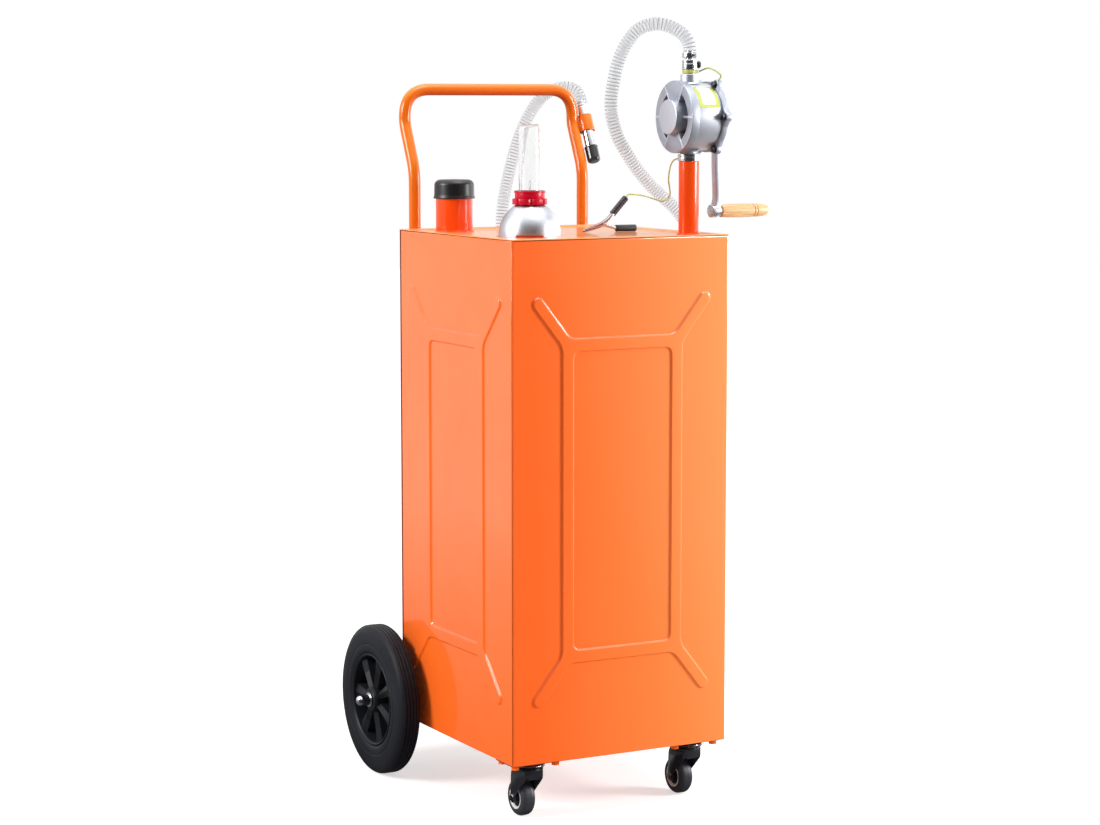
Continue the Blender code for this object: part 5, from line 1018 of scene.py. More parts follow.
def build_deck():
    """The top sheet: a flat rim, a field pressed down inside it, and the holes for what stands on it."""
    bm = bmesh.new()
    corner = [(RIGHT_WALL, -REAR_WALL), (RIGHT_WALL, REAR_WALL), (-RIGHT_WALL, REAR_WALL), (-RIGHT_WALL, -REAR_WALL)]
    low = -RECESS - SHEET
    roll = ((0, -SHEET), (0, -0.0010), (0.0004, -0.0003), (0.0014, 0))
    rings = [loop(bm, inset(corner, cut), rise) for cut, rise in roll]
    under = loop(bm, inset(corner, 0.004), low)
    skirt(bm, under, rings[0])
    for a, b in zip(rings, rings[1:]):
        skirt(bm, a, b)
    field = []
    for t, rise in smooth_steps(6):
        cut = RIM_WIDTH - 0.0010 + 0.005 * t
        edge = box_outline(RIGHT_WALL - cut, REAR_WALL - cut, 0.013 - 0.003 * t)
        field.append(loop(bm, edge, -RECESS * rise))
    for a, b in zip(field, field[1:]):
        skirt(bm, a, b)
    holes = []
    floors = []
    for spot, radius in ((FILLER, NECK_RADIUS + GAP), (GAUGE, GAUGE_HOLE), (POST, POST_RADIUS - 0.002)):
        edge = circle(radius, 48, (spot.x, spot.y))
        holes.append(loop(bm, edge, -RECESS))
        floors.append(loop(bm, edge, low))
        skirt(bm, floors[-1], holes[-1])
    fill(bm, rings[-1], field[0])
    fill(bm, field[-1], *holes)
    fill(bm, under, *floors)
    top = Vector((0, 0, TANK_TOP))
    # The deck takes the paler orange with painted sheen.
    add("deck", bm, DECK_ORANGE_PAINTED_SHEEN, "caddy_frame", top, None, "tank_top", 50, True)


# Filler and gauge


def build_filler():
    neck = [(NECK_BORE, -0.010), (NECK_RADIUS, -0.010), (NECK_RADIUS, 0.0500)]
    for k in range(4):
        crest = 0.0530 + 0.0050 * k
        neck += [(NECK_RADIUS, crest - 0.0014), (NECK_RADIUS + 0.0005, crest - 0.0004)]
        neck += [(NECK_RADIUS + 0.0005, crest + 0.0004), (NECK_RADIUS, crest + 0.0014)]
    neck += [(NECK_RADIUS, NECK_HEIGHT), (NECK_BORE, NECK_HEIGHT)]
    bead = hoop(NECK_RADIUS + 0.0006, 0.0022, -RECESS + 0.0005, FINE)
    seam = hoop(NECK_RADIUS - 0.0002, 0.0007, 0.0036, FINE)
    whole = merged(turned(eased(neck, 0.0006, closed=True), FINE, closed=True), bead, seam)
    add("filler_pipe", whole, FITTING_ORANGE, "caddy_frame", FILLER, None, "filler_neck")
    cap = [
        (0, CAP_CEILING),
        (CAP_INSIDE, CAP_CEILING),
        (CAP_INSIDE, CAP_SKIRT),
        (CAP_OUTSIDE + 0.0009, CAP_SKIRT),
        (CAP_OUTSIDE + 0.0009, CAP_SKIRT + 0.0022),
        (CAP_OUTSIDE - 0.0002, CAP_SKIRT + 0.0052),
        (CAP_OUTSIDE - 0.0006, CAP_TOP - 0.0062),
        (CAP_OUTSIDE - 0.0064, CAP_TOP - 0.0009),
        (0, CAP_TOP),
    ]
    reach = [0, 0.0005, 0.0005, 0.0008, 0.0010, 0.0016, 0.0036, 0.0048, 0]
    profile = eased(cap, reach, steps=7)
    add("screw_cap", turned(profile, FINE), CAP_BLACK, "cap", FILLER, None, "filler_cap")
    dress_node("cap_gasket", SOFT_BLACK)


def build_gauge():
    foot = GAP - RECESS
    steps = 18
    stop = math.acos(0.0225 / DOME_RADIUS)
    crown = (NUT_BOTTOM - GAP - foot - DOME_WALL) / math.sin(stop)
    outer = []
    inner = []
    for k in range(steps + 1):
        a = stop * k / steps
        outer.append((DOME_RADIUS * math.cos(a), foot + DOME_WALL + crown * math.sin(a)))
        thin = DOME_RADIUS - DOME_WALL
        inner.append((thin * math.cos(a), foot + crown * math.sin(a)))
    inner[-1] = (WINDOW_RADIUS + GAP, inner[-1][1])
    dome = [(DOME_RADIUS - DOME_WALL, foot), (0.052, foot), (0.052, foot + 0.0007), (0.0515, foot + DOME_WALL)]
    dome += [*outer, (WINDOW_RADIUS + GAP, NUT_BOTTOM - GAP), *inner[:0:-1]]
    # A red-brown patch round the front of the dome's foot: painted shadow.
    painted_shadow = sector(0.0500, 0.0523, math.radians(-118), math.radians(25), foot, foot + 0.0032)
    whole = merged(turned(dome, FINE, closed=True), (painted_shadow, None, 1))
    add("gauge_cover", whole, [DOME_CHROME, DOME_FOOT_PAINTED_SHADOW], "caddy_frame", GAUGE, None, "gauge_dome", 30)
    bore = circle(WINDOW_RADIUS + GAP, 48)
    upper = slab(circle(0.0240, 16), NUT_TOP - NUT_STEP + 0.001, [bore], NUT_STEP - 0.001, 0.0008)
    lugs = []
    for k in range(8):
        middle = 2 * math.pi * k / 8
        lugs += circle_arc(0.0280, middle - 0.24, middle + 0.24, 4)
        lugs += circle_arc(0.0262, middle + 0.32, middle + 0.46, 2)
    flange = slab(lugs, NUT_STEP - NUT_BOTTOM, [circle(WINDOW_RADIUS + GAP, 48)], NUT_BOTTOM, 0.0009)
    lip = pipe(WINDOW_RADIUS + GAP, 0.0252, NUT_TOP - 0.0036, NUT_TOP, FINE, 0.0010)
    add("gauge_ring_nut", merged(upper, flange, lip), RED, "caddy_frame", GAUGE, None, "gauge_nut", 30)
    thin = WINDOW_RADIUS - WINDOW_WALL
    guide = 0.0026
    glass = [
        (guide, WINDOW_BOTTOM),
        (WINDOW_RADIUS, WINDOW_BOTTOM),
        (WINDOW_RADIUS, WINDOW_TOP),
        (0, WINDOW_TOP),
        (0, WINDOW_TOP - WINDOW_WALL),
        (thin, WINDOW_TOP - WINDOW_WALL),
        (thin, WINDOW_BOTTOM + 0.003),
        (guide, WINDOW_BOTTOM + 0.003),
    ]
    reach = [0.0004, 0.0008, 0.0050, 0, 0, 0.0036, 0.0008, 0.0004]
    tube = turned(eased(glass, reach, closed=True, steps=8), FINE, closed=True)
    add("sight_glass", tube, TUBE_CLEAR, "caddy_frame", GAUGE, None, "gauge_tube")
    dress_node("float_rod", BRIGHT)
    dress_node("level_float", WHITE)


def circle_arc(radius, low, high, steps):
    turns = [low + (high - low) * k / steps for k in range(steps + 1)]
    return [(radius * math.cos(a), radius * math.sin(a)) for a in turns]


# Pump


def build_post():
    bottom = GAP - RECESS
    post = [(POST_BORE, bottom), (POST_RADIUS, bottom), (POST_RADIUS, POST_TOP), (POST_BORE, POST_TOP)]
    bead = hoop(POST_RADIUS + 0.0006, 0.0024, bottom + 0.0008)
    whole = merged(turned(eased(post, 0.0008, closed=True), FINE, closed=True), bead)
    add("standpipe", whole, FITTING_ORANGE, "caddy_frame", POST, None, "pump_post")
    union = [
        (0.0102, POST_TOP + GAP),
        (UNION_RADIUS, POST_TOP + GAP),
        (UNION_RADIUS, POST_TOP + 0.0066),
        (UNION_RADIUS - 0.0006, POST_TOP + 0.0070),
        (UNION_RADIUS - 0.0006, POST_TOP + 0.0076),
        (UNION_RADIUS, POST_TOP + 0.0080),
        (UNION_RADIUS, UNION_TOP),
        (0.0102, UNION_TOP),
    ]
    shape = turned(eased(union, 0.0006, closed=True), FINE, closed=True)
    add("post_union", shape, BRIGHT, "caddy_frame", POST, None, "pump_union")
    dress_node("dip_tube", BRIGHT)
    dress_node("foot_strainer", WHITE)


def barrel_patch(low, high, start, end, radius, thick, corner):
    """A patch with rounded corners that lies on the pump's barrel, from along its axis and round it."""
    bm = bmesh.new()
    tall = (end - start) * radius
    ends = [corner * (1 - math.cos(math.pi / 2 * k / 6)) for k in range(7)]
    rises = [*ends, *[corner + (tall - 2 * corner) * k / 20 for k in range(1, 20)], *[tall - e for e in reversed(ends)]]
    rings = []
    for rise in rises:
        short = max(corner - min(rise, tall - rise), 0)
        cut = corner - math.sqrt(max(corner * corner - short * short, 0))
        angle = start + rise / radius
        across = (low + cut, high - cut)
        section = ((across[0], radius), (across[0], radius + thick), (across[1], radius + thick), (across[1], radius))
        rings.append([bm.verts.new((x, -out * math.cos(angle), out * math.sin(angle))) for x, out in section])
    for a, b in zip(rings, rings[1:]):
        skirt(bm, a, b)
    bm.faces.new(rings[0])
    bm.faces.new(rings[-1])
    return bm


def build_pump():
    barrel = [(0, BODY_LEFT), (BODY_RADIUS, BODY_LEFT), (BODY_RADIUS, BODY_RIGHT), (0, BODY_RIGHT)]
    barrel = turned(eased(barrel, 0.0010), FINE)
    foot = UNION_TOP + GAP - 0.1867
    neck = [(0.0068, foot), (0.0145, foot), (0.0145, -0.0545), (0.0175, -0.0525), (0.0068, -0.0500)]
    neck = turned(eased(neck, 0.0014, closed=True), ROUND, closed=True)
    head = [(0.0068, 0.0500), (0.0175, 0.0525), (0.0145, 0.0545), (0.0145, OUTLET_TOP), (0.0068, OUTLET_TOP)]
    head = turned(eased(head, 0.0014, closed=True), ROUND, closed=True)
    whole = merged((barrel, ALONG_X), neck, head)
    add("pump_housing", whole, SATIN_CAST, "caddy_frame", PUMP, None, "pump_body", 30)
    start, end = math.radians(16), math.radians(62)
    border = barrel_patch(-0.0115, 0.0262, start, end, BODY_RADIUS, 0.00022, 0.0040)
    panel = barrel_patch(-0.0052, 0.0199, start + 0.085, end - 0.045, BODY_RADIUS, 0.00036, 0.0028)
    add("blank_label", merged(border, (panel, None, 1)), [LABEL_EDGE, LABEL], "caddy_frame", PUMP, None)
    build_front_cover()
    build_rear_cover()


def sector(inner, outer, middle, half, low, high, ease=0.0005):
    """A slab of ring between two angles."""
    outline = circle_arc(outer, middle - half, middle + half, 12)
    outline += circle_arc(inner, middle - half, middle + half, 8)[::-1]
    return slab(outline, high - low, low=low, ease=ease)


def build_front_cover():
    back = BODY_LEFT - GAP
    face = COVER_LEFT
    floor = face + POCKET_DEPTH
    ring = pipe(0.0420, COVER_RADIUS, face, back, FINE, 0.0010)
    # The pockets' floor takes the cast finish with painted shade.
    bed = rod(0.0430, floor, back, FINE)
    boss = turned(eased([(0, COVER_BOSS_LEFT), (COVER_BOSS, COVER_BOSS_LEFT), (COVER_BOSS, back), (0, back)],
                        [0, 0.0016, 0, 0]), FINE)
    parts = [(ring, None, 3), (bed, None, 2), (boss, None, 0)]
    for k in (1, 3):
        turn = Matrix.Rotation(math.pi * k / 2, 4, "Z")
        rib = bar((COVER_BOSS - 0.002, -0.0021, face - 0.0005), (COVER_RADIUS - 0.0012, 0.0021, back), 0.0006)
        parts.append((rib, turn, 0))
    for middle in (0, math.pi):
        pad = sector(COVER_BOSS - 0.001, COVER_RADIUS - 0.0016, middle, math.radians(29), face - 0.0003, back, 0.0003)
        parts.append((pad, None, 1))
        for side in (-1, 1):
            turn = Matrix.Rotation(middle + side * math.radians(30), 4, "Z")
            rib = bar((COVER_BOSS - 0.002, -0.0012, face - 0.0007), (COVER_RADIUS - 0.0012, 0.0012, back), 0.0005)
            parts.append((rib, turn, 0))
    looks = [SATIN_CAST, SAND_CAST, POCKET_CAST_PAINTED_SHADE, DULL_CAST]
    add("ribbed_cover", merged(*parts), looks, "caddy_frame", PUMP, ALONG_X, "pump_front_cover", 30)


def build_rear_cover():
    left = FLANGE_LEFT
    outline = []
    for k in range(EAR_COUNT):
        middle_angle = 2 * math.pi * k / EAR_COUNT
        x = EAR_CIRCLE * math.cos(middle_angle)
        y = EAR_CIRCLE * math.sin(middle_angle)
        for j in range(-4, 5):
            a = middle_angle + j * math.pi / 8 * 0.92
            outline.append((x + EAR_RADIUS * math.cos(a), y + EAR_RADIUS * math.sin(a)))
        mid = middle_angle + math.pi / EAR_COUNT
        outline += circle_arc(0.0568, mid - 0.24, mid + 0.24, 4)
    plate = slab(eased(outline, 0.0012, closed=True, steps=2), FLANGE_RIGHT - left, low=left, ease=0.0010)
    bearing = [(0, left), (0.048, left), (0.048, FLANGE_RIGHT + 0.001), (0.018, 0.045), (0.018, BEARING_RIGHT),
               (0, BEARING_RIGHT)]
    parts = [(plate, None, 0), (turned(eased(bearing, 0.0012), FINE), None, 0)]
    for k in range(EAR_COUNT):
        a = 2 * math.pi * k / EAR_COUNT
        spot = Matrix.Translation((EAR_CIRCLE * math.cos(a), EAR_CIRCLE * math.sin(a), 0))
        head = slab(circle(0.0052, 6), 0.0050, low=left - 0.0055, ease=0.0006)
        flange = rod(0.0060, left - 0.0009, left + 0.0005, SMALL, 0.0003)
        parts += [(head, spot, 1), (flange, spot, 1)]
    turn = Matrix.Rotation(math.radians(90), 4, "X") @ ALONG_X
    looks = [SAND_CAST, BOLT_DARK]
    add("eared_cover", merged(*parts), looks, "caddy_frame", PUMP, turn, "pump_rear_cover", 30)


def build_crank():
    hub_middle = 0.0525
    eye_middle = 0.0465
    shares = ((0.0, 0.0), (0.12, 0.03), (0.25, 0.1), (0.48, 0.15), (0.65, 0.0), (0.80, -0.55), (0.90, -0.2))
    shares += ((1.0, 1.0),)
    line = []
    for down, over in shares:
        across = hub_middle + (eye_middle - hub_middle) * max(over, 0) - 0.004 * min(over, 0) / 2
        line.append((across, -CRANK_REACH * down, 0))
    line = smooth_route(line, 40)
    swell = [min(-p.y / (0.12 * CRANK_REACH), 1) for p in line]
    left = [(p.x - 0.0045 - 0.0010 * s, p.y) for p, s in zip(line, swell)]
    outline = left + [(p.x + 0.0045 + 0.0030 * s, p.y) for p, s in reversed(list(zip(line, swell)))]
    web = slab(outline, 0.0140, low=-0.0070, ease=0.0016)
    hub = rod(0.0130, 0.0465, 0.0585, ROUND, 0.0012)
    eye = [(0, 0.0410), (0.0105, 0.0410), (0.0105, 0.0520), (0.0085, 0.0523), (0.0085, 0.0590), (0.0040, 0.0590),
           (0.0040, SPINDLE_END), (0, SPINDLE_END)]
    eye = turned(eased(eye, 0.0009), ROUND)
    at_eye = Matrix.Translation((0, 0, -CRANK_REACH)) @ ALONG_X
    whole = merged((web, UPRIGHT), (hub, ALONG_X), (eye, at_eye, 1))
    add("crank_bar", whole, [SATIN_CAST, BRIGHT], "crank", PUMP, None, "crank_arm", 30)
    nut = slab(circle(0.0098, 6), 0.0062, [circle(SHAFT_RADIUS + GAP, 32)], 0.0588, 0.0007)
    add("crank_lock_nut", nut, BRIGHT, "crank", PUMP, ALONG_X, "crank_nut", 30)
    for name in ("pump_shaft", "pump_rotor"):
        dress_node(name, BRIGHT)
    for k in range(3):
        dress_node(f"pump_vane_{k + 1}", HUB_BLACK)
    long = GRIP_RIGHT - GRIP_LEFT
    bore = 0.0046
    grip = [(0, SPINDLE_END + RUN), (bore, SPINDLE_END + RUN), (bore, GRIP_LEFT)]
    for down, wide in ((0.0, 0.86), (0.02, 0.93), (0.18, 0.975), (0.35, 1.0), (0.50, 0.99), (0.62, 0.97)):
        grip.append((GRIP_RADIUS * wide, GRIP_LEFT + long * down))
    for down in (0.66, 0.72):
        for across, deep in ((-0.0010, 0), (-0.0003, 0.0009), (0.0003, 0.0009), (0.0010, 0)):
            grip.append((GRIP_RADIUS * 0.965 - deep, GRIP_LEFT + long * down + across))
    for down, wide in ((0.80, 0.93), (0.89, 0.86), (0.95, 0.74), (0.985, 0.55), (1.0, 0.26)):
        grip.append((GRIP_RADIUS * wide, GRIP_LEFT + long * down))
    grip.append((0, GRIP_RIGHT))
    reach = [0, 0.0003, 0.0006, 0.0006] + [0.006] * 5 + [0.0004] * 8 + [0.004] * 5 + [0]
    add("turned_grip", turned(eased(grip, reach), ROUND), GRIP_WOOD, "grip", EYE, ALONG_X, "crank_grip", 40)


def build_outlet():
    bore = 0.0045
    fitting = [
        (bore, OUTLET_TOP + 0.1867 + GAP),
        (0.0100, OUTLET_TOP + 0.1867 + GAP),
        (0.0100, RING_TOP + GAP),
        (FITTING_RADIUS, RING_TOP + GAP),
        (FITTING_RADIUS, FITTING_TOP - 0.0062),
        (FITTING_RADIUS - 0.0007, FITTING_TOP - 0.0056),
        (FITTING_RADIUS - 0.0007, FITTING_TOP - 0.0048),
        (FITTING_RADIUS, FITTING_TOP - 0.0042),
        (FITTING_RADIUS, FITTING_TOP),
        (BARB_RADIUS, FITTING_TOP),
        (BARB_RADIUS, FITTING_TOP + 0.015),
        (bore, FITTING_TOP + 0.015),
    ]
    body = turned(eased(fitting, 0.0006, closed=True), FINE, closed=True)
    screw = slab(circle(0.0026, 24), 0.0011, [circle(0.0012, 6)], FITTING_RADIUS - 0.0004, 0.0003)
    face_front = Matrix.Translation((0, 0, 0.2668)) @ UPRIGHT
    band = pipe(HOSE_RADIUS + 0.0001, HOSE_RADIUS + 0.0010, FITTING_TOP + 0.0035, FITTING_TOP + 0.0115, FINE, 0.0003)
    housing = bar((-0.0038, -0.0150, FITTING_TOP + 0.0030), (0.0038, -0.0118, FITTING_TOP + 0.0120), 0.0008)
    worm = slab(circle(0.0024, 6), 0.0095, low=-0.0047, ease=0.0004)
    worm_at = Matrix.Translation((0, -0.0137, FITTING_TOP + 0.0075)) @ ALONG_X
    parts = ((body, None, 0), (screw, face_front, 1), (band, None, 0), (housing, None, 0), (worm, worm_at, 1))
    add("hose_fitting", merged(*parts), [BRIGHT, BOLT_DARK], "caddy_frame", POST, None, "outlet_fitting", 30)
    outline = []
    for k in range(14):
        a = 2 * math.pi * k / 14
        outline += circle_arc(KNOB_RADIUS, a - 0.12, a + 0.12, 2) + circle_arc(KNOB_RADIUS * 0.92, a + 0.18, a + 0.26, 1)
    stem = rod(0.0026, FITTING_RADIUS + GAP, FITTING_RADIUS + 0.0015, SMALL, 0.0002)
    head = slab(outline, 0.0052, low=FITTING_RADIUS + 0.0010, ease=0.0006)
    add("thumb_knob", merged(stem, head), CAP_BLACK, "knob", KNOB, ALONG_X, "outlet_knob", 30)


# Nozzle and handle


def handle_line():
    foot, low, shoulder, top = HANDLE_HEIGHTS
    back = HANDLE_Y + HANDLE_LEAN
    right = [(HANDLE_HALF, HANDLE_Y, foot), (HANDLE_HALF, HANDLE_Y, low), (HANDLE_HALF, back, shoulder),
             (HANDLE_HALF, back, top)]
    points = right + [(-x, y, z) for x, y, z in reversed(right)]
    reaches = [0, HANDLE_EASE, HANDLE_EASE / 2, HANDLE_CORNER]
    return [Vector(p) for p in eased(points, reaches + reaches[::-1], steps=14, most=0.9)]


def build_handle():
    line = handle_line()
    tube = sweep(line, TUBE_RADIUS, 40)
    add("push_handle", tube, HANDLE_ORANGE, "caddy_frame", (0, 0, 0), None, "handle", 40)
    inside = TUBE_RADIUS + 0.0008
    outside = inside + 0.0020
    wall = REAR_WALL + GAP - HANDLE_Y
    lip = wall + 0.0020
    arc = [math.pi * k / 16 for k in range(17)]
    outline = [(outside + 0.013, wall), (outside + 0.013, lip), (outside + 0.001, lip)]
    outline += [(outside * math.cos(a), outside * math.sin(a)) for a in arc]
    outline += [(-outside - 0.001, lip), (-outside - 0.013, lip), (-outside - 0.013, wall), (-inside, wall)]
    outline += [(inside * math.cos(a), inside * math.sin(a)) for a in reversed(arc)]
    outline.append((inside, wall))
    for side, name in ((-1, "left"), (1, "right")):
        strap = slab(outline, STRAP_TOP - STRAP_BOTTOM, low=STRAP_BOTTOM, ease=0.0004)
        at = (side * HANDLE_HALF, HANDLE_Y, 0)
        add(f"{name}_strap", strap, HANDLE_ORANGE, "caddy_frame", at, None, f"handle_strap_{name}", 40)


def build_nozzle():
    spout = [
        (NOZZLE_BORE, -NOZZLE_DOWN),
        (NOZZLE_RADIUS, -NOZZLE_DOWN),
        (NOZZLE_RADIUS, NOZZLE_UP - 0.0050),
        (NOZZLE_RADIUS - 0.0007, NOZZLE_UP - 0.0044),
        (NOZZLE_RADIUS - 0.0007, NOZZLE_UP - 0.0036),
        (NOZZLE_RADIUS, NOZZLE_UP - 0.0030),
        (NOZZLE_RADIUS, NOZZLE_UP),
        (BARB_RADIUS, NOZZLE_UP),
        (BARB_RADIUS, NOZZLE_UP + NOZZLE_BARB),
        (0.0045, NOZZLE_UP + NOZZLE_BARB),
        (0.0045, NOZZLE_UP),
        (NOZZLE_BORE, NOZZLE_UP - NOZZLE_BARB),
    ]
    shape = turned(eased(spout, 0.0007, closed=True), FINE, closed=True)
    nozzle = add("spout", shape, CHROME, "caddy_frame", CLIP_AT, NOZZLE_TURN, "nozzle", 30)
    low = -DUST_CAP_TOP - DUST_CAP_LENGTH
    cup = [
        (0, low),
        (DUST_CAP_RADIUS, low),
        (DUST_CAP_RADIUS, -DUST_CAP_TOP - 0.0030),
        (DUST_CAP_RADIUS + 0.0005, -DUST_CAP_TOP - 0.0026),
        (DUST_CAP_RADIUS + 0.0005, -DUST_CAP_TOP),
        (NOZZLE_RADIUS + RUN, -DUST_CAP_TOP),
        (NOZZLE_RADIUS + RUN, -NOZZLE_DOWN - GAP),
        (0, -NOZZLE_DOWN - GAP),
    ]
    reach = [0, 0.0078, 0.0004, 0.0002, 0.0006, 0.0006, 0.0004, 0]
    shape = turned(eased(cup, reach, steps=10), FINE)
    cap = add("dust_cover", shape, DUST_BLACK, "dust_cap", CLIP_AT, NOZZLE_TURN, "nozzle_dust_cap", 30)
    inside = NOZZLE_RADIUS + GAP
    ring = pipe(inside, inside + CLIP_WALL, -CLIP_HEIGHT / 2, CLIP_HEIGHT / 2, FINE, 0.0008)
    share = (CLIP_AT.z - HANDLE_HEIGHTS[1]) / (HANDLE_HEIGHTS[2] - HANDLE_HEIGHTS[1])
    leg = Vector((HANDLE_HALF, HANDLE_Y + HANDLE_LEAN * share, CLIP_AT.z)) - CLIP_AT
    tall = CLIP_HEIGHT / 2 - 0.001
    web = bar((inside + GAP, -0.006, -tall), (leg.length - TUBE_RADIUS + 0.0012, 0.006, tall), 0.0008)
    away = Matrix.Rotation(math.atan2(leg.y, leg.x), 4, "Z")
    add("spout_clip", merged(ring, (web, away)), HANDLE_ORANGE, "caddy_frame", CLIP_AT, NOZZLE_TURN, "nozzle_clip")
    return nozzle, cap


# Running gear


def tyre_section():
    """The section of a rear tyre: ringed walls, round shoulders and four tread grooves."""
    half = [(RIM_RADIUS + GAP, 0.0170), (0.0840, 0.0194), (0.0890, 0.0200), (0.0936, 0.0200), (0.0941, 0.0195),
            (0.0952, 0.0195), (0.0957, 0.0200), (0.1080, 0.0199), (0.1150, 0.0193), (0.1205, 0.0176),
            (0.1243, 0.0150), (0.1263, 0.0120)]
    for middle in (0.0090, 0.0030):
        half += [(WHEEL_RADIUS, middle + 0.0010), (0.1253, middle + 0.0006), (0.1253, middle - 0.0006),
                 (WHEEL_RADIUS, middle - 0.0010)]
    return half + [(r, -x) for r, x in reversed(half)]


def spoke(root, tip):
    """A spoke with a ridged face, wider where it meets the rim."""
    bm = bmesh.new()
    rings = []
    for radius, half, ridge in ((root, 0.0052, 0.0152), (0.0500, 0.0094, 0.0142), (tip, 0.0136, 0.0130)):
        section = ((-half, -0.0095), (half, -0.0095), (half, 0.0094), (0, ridge), (-half, 0.0094))
        rings.append([bm.verts.new((radius, y, z)) for y, z in section])
    for a, b in zip(rings, rings[1:]):
        skirt(bm, a, b)
    bm.faces.new(rings[0])
    bm.faces.new(rings[-1])
    return bm


def build_rear_wheel(side, name):
    middle = side * (WHEEL_FACE - WHEEL_HALF)
    at = (middle, AXLE_Y, WHEEL_RADIUS)
    flip = Matrix.Rotation(math.radians(90 - 90 * side), 4, "Z") @ ALONG_X
    tyre = turned(eased(tyre_section(), 0.0012, closed=True, steps=3), FINE, closed=True)
    add(f"{name}_tread", tyre, TYRE, name, at, flip, f"{name}_tyre", 34)
    rim = [(0.0738, -0.0170), (RIM_RADIUS, -0.0170), (RIM_RADIUS, 0.0170), (0.0776, 0.0186), (0.0762, 0.0186),
           (0.0738, 0.0160)]
    rim = turned(eased(rim, 0.0006, closed=True), FINE, closed=True)
    web = rod(0.0755, -0.0110, -0.0085, FINE)
    boss = turned(eased([(0, -0.0197), (0.021, -0.0197), (0.021, 0.0150), (0.0190, 0.0197), (0, 0.0197)], 0.0014), ROUND)
    parts = [(rim, None, 0), (web, None, 0), (boss, None, 0)]
    for k in range(SPOKE_COUNT):
        turn = Matrix.Rotation(side * math.pi / 2 + 2 * math.pi * k / SPOKE_COUNT, 4, "Z")
        parts.append((spoke(0.0180, 0.0745), turn, 0))
    add(f"{name}_spokes", merged(*parts), HUB_BLACK, name, at, flip, f"{name}_hub", 12)
    face = WHEEL_FACE + GAP
    nut = [
        (AXLE_RADIUS + GAP, face),
        (0.0125, face),
        (0.0125, face + 0.0020),
        (0.0092, face + 0.0022),
        (0.0092, face + 0.0105),
        (0.0085, AXLE_END - 0.0060),
        (0.0062, AXLE_END - 0.0018),
        (0, AXLE_END),
        (0, AXLE_END - 0.0041),
        (AXLE_RADIUS + GAP, AXLE_END - 0.0041),
    ]
    reach = [0.0002, 0.0006, 0.0006, 0.0003, 0.0012, 0.0030, 0.0036, 0, 0, 0.0002]
    shape = turned(eased(nut, reach, closed=True, steps=6), ROUND, closed=True)
    spot = (0, AXLE_Y, WHEEL_RADIUS)
    add(f"{name}_dome_nut", shape, CHROME, "caddy_frame", spot, flip, f"{name}_axle_nut", 40)


